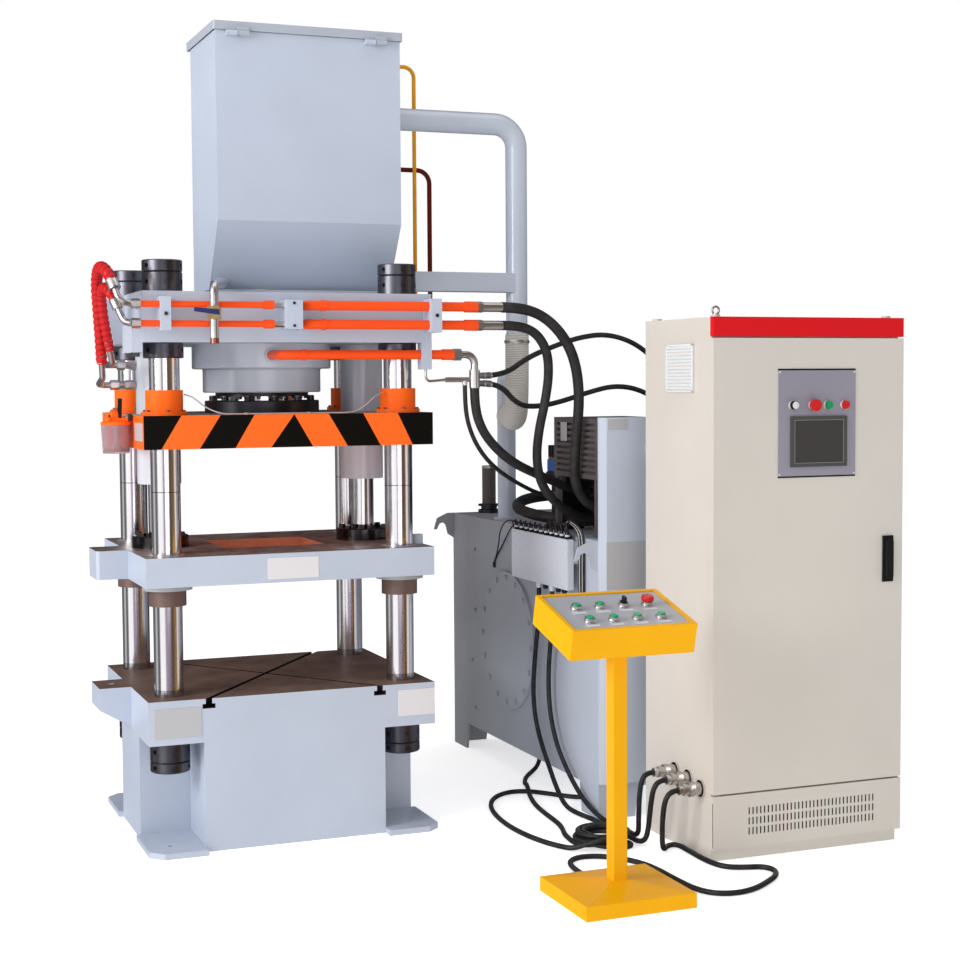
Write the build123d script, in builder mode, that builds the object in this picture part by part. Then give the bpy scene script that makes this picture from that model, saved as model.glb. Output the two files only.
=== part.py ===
from build123d import *

import math
import os

# Four-column hydraulic press with its oil tank, electrical cabinet and operator console.
# Millimetres. X runs right along the press's front, Y away from the operator and Z up.
# The origin is on the floor, at the centre of the four anchor holes of the press bed.

os.makedirs("parts", exist_ok=True)

# Fits
SEAT = 0.1  # radial gap of a piece seated in its bore
RUNNING = 0.3  # radial gap of a piece that slides or turns

# Bed
TABLE_X = 1020
TABLE_Y = 835
TABLE_TOP = 527
TABLE_T = 150
BASE_FRONT_X = 644
BASE_SIDE_X = 1000
BASE_SIDE_Y = 350
FOOT_T = 20
FOOT_OUT_Y = 466
FOOT_OUT_X = 516
FOOT_CUT = 45
ANCHOR_X = 430
ANCHOR_Y = 366
ANCHOR_D = 26
SLOT_NECK = 18
SLOT_NECK_DEPTH = 18
SLOT_T = 36
SLOT_T_DEPTH = 16
SLOT_END_X = 305  # where a slot leaves the table's front edge

# Columns and their ring nuts
COLUMN_X = 418
COLUMN_Y = 307
COLUMN_D = 100
COLUMN_LOW = 262
COLUMN_HIGH = 2006
NUT_D = 136
NUT_CHAMFER = 3
RING_GAP = 0.6  # between a nut and its lock ring
LOWER_NUT_H = 73
LOWER_LOCK_H = 36
UPPER_NUT_H = 68
UPPER_LOCK_H = 40
UNDER_NUT_H = 52
SPANNER_D = 16
SPANNER_DEPTH = 9

# Crown
CROWN_X = 1016
CROWN_Y = 840
CROWN_LOW = 1732
CROWN_T = 170

# Lugs on the left end of bed, platen and crown
LUG_REACH = 110
LUG_W = 175
LUG_HOLE_D = 22

# Main cylinder and ram
CYLINDER_BODY_D = 380
CYLINDER_STEP_D = CYLINDER_BODY_D + 46
CYLINDER_FLANGE_D = CYLINDER_STEP_D + 76
CYLINDER_WALL = 30
CYLINDER_BORE_D = CYLINDER_BODY_D - 2 * CYLINDER_WALL
CYLINDER_LOW = 1560
CYLINDER_STEP_TOP = 1645
CYLINDER_NECK_T = 35
CYLINDER_HEAD_T = 32
PREFILL_PORT_D = 140
PISTON_LEDGE = 15
RAM_D = CYLINDER_BORE_D - 2 * PISTON_LEDGE
PISTON_T = 30
GLAND_D = 336
GLAND_T = 14
RAM_FLANGE_D = 414
RAM_FLANGE_T = 44
RAM_BOLT_D = 26
RAM_BOLT_H = 14
RAM_BOLTS = 12

# Slider
SLIDER_X = 1020
SLIDER_Y = 840
SLIDER_LOW = 1374
SLIDER_T = 113
BUSH_D = 127
BUSH_FLANGE_D = 157
BUSH_FLANGE_T = 12
BUSH_H = 85
BUSH_SPIGOT_D = 124

# Lift cylinders of the middle platen
LIFT_X = 380
BARREL_D = 155
BARREL_BORE_D = 124
BARREL_LOW = 1238
BARREL_GLAND_T = 40
BARREL_HOLE_D = 168  # clearance hole in the slider
ROD_D = 82
ROD_PISTON_T = 50
ROD_FLANGE_D = 200
ROD_FLANGE_T = 42
ROD_BOLTS = 6

# Middle platen
PLATEN_X = 1023
PLATEN_Y = 840
PLATEN_LOW = 910
PLATEN_T = 101
DIE_X = 370
DIE_Y = 324
PLATEN_RING_D = 170
PLATEN_RING_T = 17
PLATEN_BUSH_D = 128
PLATEN_BUSH_H = 55
STOP_D = 40
STOP_H = 35

# Prefill tank on the crown
TANK_LEFT = -205
TANK_RIGHT = 466
TANK_FRONT = -225
TANK_BACK = 180
TANK_LOW = 1926
TANK_FOLD = 2160
TANK_TOP = 2811
TANK_SLANT = 150
TANK_WALL = 4
LID_T = 30
LID_OVER = 8
HINGE_PIN_D = 8
HINGE_D = 18
HINGE_L = 80
HINGE_X = (-130, 371)

# Pipes and blocks on the crown's front
PIPE_Y = -470
UPPER_PIPE_Z = 1856
LOWER_PIPE_Z = 1792
SMALL_PIPE_D = 22
LARGE_PIPE_D = 33
SLEEVE_D = 39
RETURN_PIPE_Z = 1690
RETURN_PIPE_Y = -400
PORT_X = -30
BLOCK_LEFT = -39
BLOCK_W = 57

# Power unit
OIL_TANK_LEFT = 1090
OIL_TANK_X = 900
OIL_TANK_FRONT = -553
OIL_TANK_BACK = 927
OIL_TANK_LOW = 112
OIL_TANK_TOP = 1018
LEG_W = 162
LEG_TAPER = 15
LEG_T = 10
MANHOLE_Y = 290
MANHOLE_Z = 542
MANHOLE_D = 560
MANHOLE_T = 12
MANHOLE_BOLT_R = 256
MANHOLE_BOLTS = 16
PANEL_TOP = 1462
PANEL_DEPTH = 24
PANEL_WALL = 3
MOTOR_X = 1660
MOTOR_Z = 1200
MOTOR_R = 128
MOTOR_FRONT = 60
MOTOR_L = 420
BELL_L = 110
PUMP_L = 130
SHAFT_D = 40
RISER_X = 1170
RISER_Y = 500
RISER_D = 76
RISER_TOP = 1620

# Cabinet
CAB_LEFT = 1199.5
CAB_X = 721.5
CAB_FRONT = -1187
CAB_Y = 471
CAB_H = 1800
CAB_WALL = 4
DOOR_T = 24
DOOR_OUT = 6  # the door stands this far out on both sides
DOOR_LOW = 228
DOOR_TOP = 1731
HEADER_LOW = 1736
CONTROL_Z = 1509

# Console
CONSOLE_X = 734
CONSOLE_W = 414
CONSOLE_FRONT_Y = -1567
CONSOLE_FRONT_Z = 860
CONSOLE_DEPTH = 287
CONSOLE_TILT = 15.3
CONSOLE_T = 95
CONSOLE_WALL = 4
CONSOLE_RIM = 14
CONSOLE_RECESS = 5
POST_W = 50
POST_Y = -1432
STAND_X = 368
STAND_Y = 346
STAND_EDGE = 45
STAND_RISE = 20
BUTTON_PITCH = 80
BUTTON_ROW_BACK = 30
BUTTON_ROW_FRONT = -70
BUTTON_D = 24
BEZEL_D = 32
BEZEL_H = 13
BUTTON_TRAVEL = 3

ARC_SHARE = 0.45  # an arc of a cord takes this share of its shorter run

CROWN_TOP = CROWN_LOW + CROWN_T
SLIDER_TOP = SLIDER_LOW + SLIDER_T
PLATEN_TOP = PLATEN_LOW + PLATEN_T
TABLE_LOW = TABLE_TOP - TABLE_T
COLUMN_SPOTS = [(x, y) for y in (-COLUMN_Y, COLUMN_Y) for x in (-COLUMN_X, COLUMN_X)]
LIFT_SPOTS = [(-LIFT_X, 0), (LIFT_X, 0)]


def corner_radii(points):
    """The radius at each corner of a route: as large as its two runs allow."""
    radii = []
    for before, corner, after in zip(points, points[1:], points[2:]):
        first = Vector(*corner) - Vector(*before)
        second = Vector(*after) - Vector(*corner)
        half_turn = math.radians(first.get_angle(second)) / 2
        radii.append(ARC_SHARE * min(first.length, second.length) / math.tan(half_turn))
    return radii


def tube(points, diameter, bend=None, bore=0):
    """A round bar or pipe along straight runs joined by arcs."""
    radius = corner_radii(points) if bend is None else bend
    with BuildPart() as run:
        with BuildLine() as route:
            FilletPolyline(*points, radius=radius)
        with BuildSketch(Plane(origin=route.line @ 0, z_dir=route.line % 0)):
            Circle(diameter / 2)
            if bore:
                Circle(bore / 2, mode=Mode.SUBTRACT)
        sweep(path=route.wires()[0])
    return run.part


def cord(name, points, diameter):
    """A hose or cable; its arcs' radii and its volume are printed."""
    made = tube(points, diameter)
    radii = corner_radii(points)
    runs = [(Vector(*b) - Vector(*a)).length for a, b in zip(points, points[1:])]
    print(name, "radii", [round(r) for r in radii], "length", round(sum(runs)))
    print(name, "volume share", round(made.volume / (sum(runs) * math.pi * diameter**2 / 4), 3))
    return made


def bar(start, end, diameter, sides=0):
    """A round or hexagonal bar between two points."""
    with BuildPart() as piece:
        reach = Vector(*end) - Vector(*start)
        with BuildSketch(Plane(origin=start, z_dir=reach)):
            if sides:
                RegularPolygon(diameter / 2, sides)
            else:
                Circle(diameter / 2)
        extrude(amount=reach.length)
    return piece.part


# Bed: a closed box of plus-shaped plan under a slotted table
slot_turn = math.degrees(math.atan2(TABLE_Y / 2, SLOT_END_X))
slot_length = 2 * math.hypot(TABLE_Y / 2, SLOT_END_X) + 2 * SLOT_T
with BuildPart() as bed:
    with BuildSketch():
        Rectangle(BASE_FRONT_X, TABLE_Y)
        Rectangle(BASE_SIDE_X, BASE_SIDE_Y)
    extrude(amount=TABLE_LOW)
    with BuildSketch(Plane.XY.offset(TABLE_LOW)):
        Rectangle(TABLE_X, TABLE_Y)
    extrude(amount=TABLE_T)
    with BuildSketch(Plane.XZ):
        with BuildLine():
            Polyline(
                (-TABLE_X / 2 - LUG_REACH, TABLE_TOP),
                (-TABLE_X / 2 - LUG_REACH, TABLE_TOP - 78),
                (-TABLE_X / 2, TABLE_LOW + 8),
                (-TABLE_X / 2 + 10, TABLE_LOW + 8),
                (-TABLE_X / 2 + 10, TABLE_TOP),
                close=True,
            )
        make_face()
    extrude(amount=LUG_W / 2, both=True)
    with BuildSketch():
        for side_x in (-1, 1):
            for side_y in (-1, 1):
                with BuildLine():
                    Polyline(
                        (side_x * BASE_FRONT_X / 2, side_y * BASE_SIDE_Y / 2),
                        (side_x * FOOT_OUT_X, side_y * BASE_SIDE_Y / 2),
                        (side_x * FOOT_OUT_X, side_y * (FOOT_OUT_Y - FOOT_CUT)),
                        (side_x * (FOOT_OUT_X - FOOT_CUT), side_y * FOOT_OUT_Y),
                        (side_x * BASE_FRONT_X / 2, side_y * FOOT_OUT_Y),
                        close=True,
                    )
                make_face()
        with Locations(*[(x, y) for x in (-ANCHOR_X, ANCHOR_X) for y in (-ANCHOR_Y, ANCHOR_Y)]):
            Circle(ANCHOR_D / 2, mode=Mode.SUBTRACT)
    extrude(amount=FOOT_T)
    with BuildSketch(Plane.XY.offset(TABLE_TOP)):
        for turn in (slot_turn, -slot_turn):
            Rectangle(slot_length, SLOT_NECK, rotation=turn)
    extrude(amount=-SLOT_NECK_DEPTH, mode=Mode.SUBTRACT)
    with BuildSketch(Plane.XY.offset(TABLE_TOP - SLOT_NECK_DEPTH)):
        for turn in (slot_turn, -slot_turn):
            Rectangle(slot_length, SLOT_T, rotation=turn)
    extrude(amount=-SLOT_T_DEPTH, mode=Mode.SUBTRACT)
    with BuildSketch(Plane.XY.offset(TABLE_TOP)):
        with Locations(*COLUMN_SPOTS):
            Circle(COLUMN_D / 2 + SEAT)
        with Locations((-TABLE_X / 2 - LUG_REACH / 2, 0)):
            Circle(LUG_HOLE_D / 2)
    extrude(amount=-TABLE_T, mode=Mode.SUBTRACT)
bed.part.label = "bed"
export_step(bed.part, "parts/bed.step")

# Columns
with BuildPart() as columns:
    with BuildSketch(Plane.XY.offset(COLUMN_LOW)):
        with Locations(*COLUMN_SPOTS):
            Circle(COLUMN_D / 2)
    extrude(amount=COLUMN_HIGH - COLUMN_LOW)
    chamfer(columns.edges().filter_by(GeomType.CIRCLE), 4)
columns.part.label = "columns"
export_step(columns.part, "parts/columns.step")

# Ring nuts: a nut and a lock ring above the crown and below the table, one nut under the crown
nut_rings = [
    (TABLE_LOW - LOWER_NUT_H, LOWER_NUT_H),
    (TABLE_LOW - LOWER_NUT_H - RING_GAP - LOWER_LOCK_H, LOWER_LOCK_H),
    (CROWN_LOW - UNDER_NUT_H, UNDER_NUT_H),
    (CROWN_TOP, UPPER_NUT_H),
    (CROWN_TOP + UPPER_NUT_H + RING_GAP, UPPER_LOCK_H),
]
with BuildPart() as column_nuts:
    for ring_low, ring_h in nut_rings:
        with BuildSketch(Plane.XY.offset(ring_low)):
            with Locations(*COLUMN_SPOTS):
                Circle(NUT_D / 2)
                Circle(COLUMN_D / 2 + SEAT, mode=Mode.SUBTRACT)
        extrude(amount=ring_h)
    rims = column_nuts.edges().filter_by(GeomType.CIRCLE)
    chamfer([rim for rim in rims if rim.radius > NUT_D / 2 - 1], NUT_CHAMFER)
    for ring_low, ring_h in nut_rings:
        for spot_x, spot_y in COLUMN_SPOTS:
            for angle in (-150, -90, -30):
                turn = math.radians(angle)
                outward = Vector(math.cos(turn), math.sin(turn), 0)
                middle = Vector(spot_x, spot_y, ring_low + ring_h / 2)
                with BuildSketch(Plane(origin=middle + outward * NUT_D / 2, z_dir=outward)):
                    Circle(SPANNER_D / 2)
                extrude(amount=-SPANNER_DEPTH, mode=Mode.SUBTRACT)
column_nuts.part.label = "column_nuts"
export_step(column_nuts.part, "parts/column_nuts.step")

# Crown: a closed box with a tapered lug and a hose bracket on its left end
with BuildPart() as crown:
    with BuildSketch(Plane.XY.offset(CROWN_LOW)):
        Rectangle(CROWN_X, CROWN_Y)
    extrude(amount=CROWN_T)
    with BuildSketch(Plane.XZ):
        with BuildLine():
            Polyline(
                (-CROWN_X / 2 - 70, CROWN_TOP - 18),
                (-CROWN_X / 2 - 38, CROWN_LOW),
                (-CROWN_X / 2 + 10, CROWN_LOW),
                (-CROWN_X / 2 + 10, CROWN_TOP - 18),
                close=True,
            )
        make_face()
    extrude(amount=LUG_W / 2, both=True)
    with BuildSketch(Plane.XZ.offset(CROWN_Y / 2 - 8)):
        with BuildLine():
            Polyline(
                (-CROWN_X / 2 - 34, CROWN_LOW + 60),
                (-CROWN_X / 2 - 34, CROWN_LOW - 34),
                (-CROWN_X / 2, CROWN_LOW - 34),
                (-CROWN_X / 2, CROWN_LOW + 60),
                close=True,
            )
        make_face()
    extrude(amount=-180)
    with BuildSketch(Plane.XY.offset(CROWN_LOW)):
        with Locations(*COLUMN_SPOTS):
            Circle(COLUMN_D / 2 + SEAT)
        with Locations(*LIFT_SPOTS):
            Circle(BARREL_D / 2 + SEAT)
        Circle(CYLINDER_BODY_D / 2 + SEAT)
    extrude(amount=CROWN_T, mode=Mode.SUBTRACT)
crown.part.label = "crown"
export_step(crown.part, "parts/crown.step")

# Main cylinder: turned body whose flange seats under the crown
with BuildPart() as main_cylinder:
    with BuildSketch(Plane.XZ):
        with BuildLine():
            Polyline(
                (RAM_D / 2 + RUNNING, CYLINDER_LOW),
                (CYLINDER_STEP_D / 2, CYLINDER_LOW),
                (CYLINDER_STEP_D / 2, CYLINDER_STEP_TOP),
                (CYLINDER_FLANGE_D / 2, CYLINDER_STEP_TOP),
                (CYLINDER_FLANGE_D / 2, CROWN_LOW),
                (CYLINDER_BODY_D / 2, CROWN_LOW),
                (CYLINDER_BODY_D / 2, CROWN_TOP),
                (PREFILL_PORT_D / 2, CROWN_TOP),
                (PREFILL_PORT_D / 2, CROWN_TOP - CYLINDER_HEAD_T),
                (CYLINDER_BORE_D / 2, CROWN_TOP - CYLINDER_HEAD_T),
                (CYLINDER_BORE_D / 2, CYLINDER_LOW + CYLINDER_NECK_T),
                (RAM_D / 2 + RUNNING, CYLINDER_LOW + CYLINDER_NECK_T),
                close=True,
            )
        make_face()
    revolve(axis=Axis.Z)
    turned = main_cylinder.edges().filter_by(GeomType.CIRCLE)
    chamfer([e for e in turned if e.radius > CYLINDER_BODY_D / 2 + 1 and e.center().Z < CROWN_LOW - 1], 4)
    with BuildSketch(Plane.XZ.offset(CYLINDER_FLANGE_D / 2 - 20)):
        with Locations((PORT_X, RETURN_PIPE_Z)):
            Circle(LARGE_PIPE_D / 2 + 7)
    extrude(amount=30)
main_cylinder.part.label = "main_cylinder"
export_step(main_cylinder.part, "parts/main_cylinder.step")

# Gland under the cylinder
with BuildPart() as cylinder_gland:
    with BuildSketch(Plane.XY.offset(CYLINDER_LOW - GLAND_T)):
        Circle(GLAND_D / 2)
        Circle(RAM_D / 2 + RUNNING, mode=Mode.SUBTRACT)
    extrude(amount=GLAND_T)
cylinder_gland.part.label = "cylinder_gland"
export_step(cylinder_gland.part, "parts/cylinder_gland.step")

# Prefill valve: a seat ring, a disc on a stem and its cage, in the bottom of the tank
VALVE_FLANGE_D = 190
VALVE_FLANGE_T = 24
with BuildPart() as prefill_valve:
    with BuildSketch(Plane.XY.offset(CROWN_TOP)):
        Circle(VALVE_FLANGE_D / 2)
    extrude(amount=VALVE_FLANGE_T + TANK_LOW + TANK_WALL - CROWN_TOP - VALVE_FLANGE_T)
    with BuildSketch(Plane.XY.offset(TANK_LOW + TANK_WALL)):
        Circle(PREFILL_PORT_D / 2)
    extrude(amount=70)
    with BuildSketch(Plane.XY.offset(CROWN_TOP)):
        Circle(PREFILL_PORT_D / 2 - 14)
    extrude(amount=TANK_LOW - CROWN_TOP + 60, mode=Mode.SUBTRACT)
    with BuildSketch(Plane.XZ.offset(PREFILL_PORT_D)):
        with Locations((0, TANK_LOW + 38)):
            Rectangle(50, 34)
    extrude(amount=-2 * PREFILL_PORT_D, mode=Mode.SUBTRACT)
    with BuildSketch(Plane.XY.offset(TANK_LOW + TANK_WALL + 70)):
        Circle(12)
    extrude(amount=40)
prefill_valve.part.label = "prefill_valve"
export_step(prefill_valve.part, "parts/prefill_valve.step")

# Prefill tank: folded sheet with a slanted lower front, on two bars across the crown
DRAIN_D = 30
SOCKET_L = 22
drain_socket = Vector(TANK_LEFT + 34, TANK_FRONT + TANK_SLANT - 50, TANK_LOW + SOCKET_L)
tank_side = [
    (TANK_FRONT, TANK_TOP),
    (TANK_FRONT, TANK_FOLD),
    (TANK_FRONT + TANK_SLANT, TANK_LOW),
    (TANK_BACK, TANK_LOW),
    (TANK_BACK, TANK_TOP),
]
hinge_z = TANK_TOP - HINGE_D / 2 - 2
hinge_y = TANK_FRONT - LID_OVER - HINGE_D / 2
with BuildPart() as prefill_tank:
    with BuildSketch(Plane.YZ.offset(TANK_LEFT)):
        with BuildLine():
            Polyline(*tank_side, close=True)
        make_face()
    extrude(amount=TANK_RIGHT - TANK_LEFT)
    top_face = prefill_tank.faces().sort_by(Axis.Z)[-1]
    offset(amount=-TANK_WALL, openings=top_face)
    with BuildSketch(Plane.XY.offset(CROWN_TOP)):
        with Locations(((TANK_LEFT + TANK_RIGHT) / 2, 140), ((TANK_LEFT + TANK_RIGHT) / 2, -110)):
            Rectangle(TANK_RIGHT - TANK_LEFT - 40, 30)
        Circle(VALVE_FLANGE_D / 2 + 5, mode=Mode.SUBTRACT)
    extrude(amount=TANK_LOW - CROWN_TOP)
    with BuildSketch(Plane.XY.offset(TANK_LOW - 1)):
        Circle(VALVE_FLANGE_D / 2 + SEAT)
    extrude(amount=TANK_WALL + 2, mode=Mode.SUBTRACT)
    with BuildSketch(Plane(origin=drain_socket, z_dir=(0, 1, 0))):
        Circle(DRAIN_D / 2 + 5)
    extrude(amount=54)
    for spot in HINGE_X:
        with BuildSketch(Plane.YZ.offset(spot - HINGE_L / 2)):
            with Locations((hinge_y, hinge_z)):
                Circle(HINGE_D / 2)
            with Locations((hinge_y + HINGE_D / 4 + LID_OVER / 2, hinge_z - HINGE_D / 4)):
                Rectangle(HINGE_D / 2 + LID_OVER, HINGE_D / 2)
            with Locations((hinge_y, hinge_z)):
                Circle(HINGE_PIN_D / 2 + SEAT, mode=Mode.SUBTRACT)
        extrude(amount=HINGE_L / 2 - 1)
    hinge_pins = [
        bar((x - HINGE_L / 2, hinge_y, hinge_z), (x + HINGE_L / 2, hinge_y, hinge_z), HINGE_PIN_D)
        for x in HINGE_X
    ]
tank_with_pins = Compound(label="prefill_tank", children=[*prefill_tank.part.solids(), *[p.solid() for p in hinge_pins]])
tank_with_pins.label = "prefill_tank"
export_step(tank_with_pins, "parts/prefill_tank.step")

# Tank lid: a shallow tray with the moving halves of its front hinges
lid_low = TANK_TOP + RUNNING
with BuildPart() as tank_lid:
    with BuildSketch(Plane.XY.offset(lid_low)):
        with Locations(((TANK_LEFT + TANK_RIGHT) / 2, (TANK_FRONT + TANK_BACK) / 2 + 12)):
            Rectangle(
                TANK_RIGHT - TANK_LEFT + 2 * LID_OVER,
                TANK_BACK - TANK_FRONT + 2 * LID_OVER + 24,
            )
    extrude(amount=LID_T)
    fillet(tank_lid.edges().filter_by(Axis.Z), 6)
    offset(amount=-3, openings=tank_lid.faces().sort_by(Axis.Z)[0])
    for spot in HINGE_X:
        with BuildSketch(Plane.YZ.offset(spot + 1)):
            with Locations((hinge_y, hinge_z)):
                Circle(HINGE_D / 2)
            with Locations((hinge_y + HINGE_D / 4, (hinge_z + lid_low) / 2 + 6)):
                Rectangle(HINGE_D / 2, lid_low - hinge_z + 12)
            with Locations((hinge_y, hinge_z)):
                Circle(HINGE_PIN_D / 2 + RUNNING, mode=Mode.SUBTRACT)
        extrude(amount=HINGE_L / 2 - 1)
tank_lid.part.label = "tank_lid"
export_step(tank_lid.part, "parts/tank_lid.step")

# Drain line from the tank's lower front, with a ball valve in front of the crown
DRAIN_X = -285
DRAIN_Y = -502
VALVE_LOW = 1806
VALVE_H = 44
VALVE_D = 40
BALL_D = 26
STEM_D = 10
drain_top = tube(
    [
        tuple(drain_socket),
        (drain_socket.X, drain_socket.Y - 50, drain_socket.Z),
        (DRAIN_X, DRAIN_Y, TANK_LOW - 6),
        (DRAIN_X, DRAIN_Y, VALVE_LOW + VALVE_H),
    ],
    DRAIN_D,
    bend=34,
)
with BuildPart() as drain_body:
    with BuildSketch(Plane.XY.offset(VALVE_LOW)):
        with Locations((DRAIN_X, DRAIN_Y)):
            RegularPolygon(VALVE_D / 2 + 3, 6)
    extrude(amount=VALVE_H)
    with BuildSketch(Plane.XZ.offset(-DRAIN_Y)):
        with Locations((DRAIN_X, VALVE_LOW + VALVE_H / 2)):
            Circle(12)
    extrude(amount=VALVE_D / 2 + 8)
    with Locations((DRAIN_X, DRAIN_Y, VALVE_LOW + VALVE_H / 2)):
        Sphere(BALL_D / 2 + RUNNING, mode=Mode.SUBTRACT)
    with BuildSketch(Plane.XY.offset(VALVE_LOW)):
        with Locations((DRAIN_X, DRAIN_Y)):
            Circle(8)
    extrude(amount=VALVE_H, mode=Mode.SUBTRACT)
    with BuildSketch(Plane.XZ.offset(-DRAIN_Y)):
        with Locations((DRAIN_X, VALVE_LOW + VALVE_H / 2)):
            Circle(STEM_D / 2 + RUNNING)
    extrude(amount=VALVE_D / 2 + 9, mode=Mode.SUBTRACT)
drain_tail = bar((DRAIN_X, DRAIN_Y, VALVE_LOW), (DRAIN_X, DRAIN_Y, VALVE_LOW - 80), DRAIN_D)
drain_valve = Compound(children=[drain_top.solid(), drain_body.part.solid(), drain_tail.solid()])
drain_valve.label = "drain_valve"
export_step(drain_valve, "parts/drain_valve.step")

# Drain valve's ball, stem and lever, one turning set
valve_mid = VALVE_LOW + VALVE_H / 2
LEVER_L = 74
with BuildPart() as drain_lever:
    with Locations((DRAIN_X, DRAIN_Y, valve_mid)):
        Sphere(BALL_D / 2)
    with BuildSketch(Plane.XZ.offset(-DRAIN_Y)):
        with Locations((DRAIN_X, valve_mid)):
            Circle(STEM_D / 2)
    extrude(amount=VALVE_D / 2 + 20)
    with BuildSketch(Plane.XY.offset(valve_mid - BALL_D)):
        with Locations((DRAIN_X, DRAIN_Y)):
            Circle(7)
    extrude(amount=2 * BALL_D, mode=Mode.SUBTRACT)
    with BuildSketch(Plane.XZ.offset(-DRAIN_Y + VALVE_D / 2 + 9)):
        with BuildLine():
            Polyline(
                (DRAIN_X + 10, valve_mid - 9),
                (DRAIN_X + 10, valve_mid + 9),
                (DRAIN_X - LEVER_L, valve_mid + 16),
                (DRAIN_X - LEVER_L, valve_mid + 2),
                close=True,
            )
        make_face()
    extrude(amount=5)
drain_lever.part.label = "drain_lever"
export_step(drain_lever.part, "parts/drain_lever.step")

# Orange pressure pipes along the crown's front
block_right = BLOCK_LEFT + BLOCK_W
UNION_L = 36
LEFT_PIPE_X = -524
RIGHT_PIPE_X = 660
RETURN_PIPE_X = 595
UPPER_CLAMP_X = 478
CLAMP_W = 37
front_solids = []
for pipe_z in (UPPER_PIPE_Z, LOWER_PIPE_Z):
    with BuildPart() as small_pipe:
        with BuildSketch(Plane.YZ.offset(LEFT_PIPE_X)):
            with Locations((PIPE_Y, pipe_z)):
                Circle(SMALL_PIPE_D / 2)
        extrude(amount=BLOCK_LEFT - UNION_L - LEFT_PIPE_X)
        with BuildSketch(Plane.YZ.offset(BLOCK_LEFT - UNION_L - 34)):
            with Locations((PIPE_Y, pipe_z)):
                Circle(SMALL_PIPE_D / 2 + 4)
        extrude(amount=34)
    front_solids.append(small_pipe.part.solid())
    with BuildPart() as large_pipe:
        add(
            tube(
                [
                    (block_right + 24, PIPE_Y + 27, pipe_z),
                    (block_right + 24, PIPE_Y, pipe_z),
                    (RIGHT_PIPE_X, PIPE_Y, pipe_z),
                ],
                LARGE_PIPE_D,
                bend=25,
            )
        )
        for sleeve_x, sleeve_l in ((block_right + 74, 14), (RIGHT_PIPE_X - 46, 46)):
            with BuildSketch(Plane.YZ.offset(sleeve_x)):
                with Locations((PIPE_Y, pipe_z)):
                    Circle(SLEEVE_D / 2)
            extrude(amount=sleeve_l)
    front_solids.append(large_pipe.part.solid())
with BuildPart() as return_pipe_front:
    add(
        tube(
            [
                (PORT_X, -CYLINDER_FLANGE_D / 2 - 10, RETURN_PIPE_Z),
                (PORT_X, RETURN_PIPE_Y, RETURN_PIPE_Z),
                (RETURN_PIPE_X, RETURN_PIPE_Y, RETURN_PIPE_Z),
            ],
            LARGE_PIPE_D,
            bend=36,
        )
    )
    for sleeve_x, sleeve_l in ((PORT_X + 70, 14), (RETURN_PIPE_X - 40, 40)):
        with BuildSketch(Plane.YZ.offset(sleeve_x)):
            with Locations((RETURN_PIPE_Y, RETURN_PIPE_Z)):
                Circle(SLEEVE_D / 2)
        extrude(amount=sleeve_l)
front_solids.append(return_pipe_front.part.solid())
front_pipes = Compound(children=front_solids)
front_pipes.label = "front_pipes"
export_step(front_pipes, "parts/front_pipes.step")

# Painted blocks: the manifold, two clamps on the crown's front and one hanging under it
with BuildPart() as pipe_blocks:
    with BuildSketch(Plane.XZ.offset(CROWN_Y / 2)):
        with Locations((BLOCK_LEFT + BLOCK_W / 2, (UPPER_PIPE_Z + LOWER_PIPE_Z) / 2)):
            Rectangle(BLOCK_W, 98)
    extrude(amount=82)
    with BuildSketch(Plane.XZ.offset(CROWN_Y / 2)):
        with Locations((block_right + 24, (UPPER_PIPE_Z + LOWER_PIPE_Z) / 2)):
            Rectangle(48, 104)
    extrude(amount=PIPE_Y * -1 - 27 - CROWN_Y / 2)
    for clamp_x, clamp_w, bore_d in ((-461, 34, SMALL_PIPE_D), (UPPER_CLAMP_X, CLAMP_W, LARGE_PIPE_D)):
        with BuildSketch(Plane.XZ.offset(CROWN_Y / 2)):
            with Locations((clamp_x + clamp_w / 2, (UPPER_PIPE_Z + LOWER_PIPE_Z) / 2)):
                Rectangle(clamp_w, 116 if clamp_x > 0 else 112)
        extrude(amount=90 if clamp_x > 0 else 76)
        with BuildSketch(Plane.YZ.offset(clamp_x)):
            with Locations((PIPE_Y, UPPER_PIPE_Z), (PIPE_Y, LOWER_PIPE_Z)):
                Circle(bore_d / 2 + SEAT)
        extrude(amount=clamp_w, mode=Mode.SUBTRACT)
    with BuildSketch(Plane.XY.offset(CROWN_LOW)):
        with Locations((CROWN_X / 2 - CLAMP_W / 2, RETURN_PIPE_Y + 2)):
            Rectangle(CLAMP_W, 46)
    extrude(amount=-94)
    with BuildSketch(Plane.YZ.offset(CROWN_X / 2 - CLAMP_W)):
        with Locations((RETURN_PIPE_Y, RETURN_PIPE_Z)):
            Circle(LARGE_PIPE_D / 2 + SEAT)
    extrude(amount=CLAMP_W, mode=Mode.SUBTRACT)
pipe_blocks.part.label = "pipe_blocks"
export_step(pipe_blocks.part, "parts/pipe_blocks.step")

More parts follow.
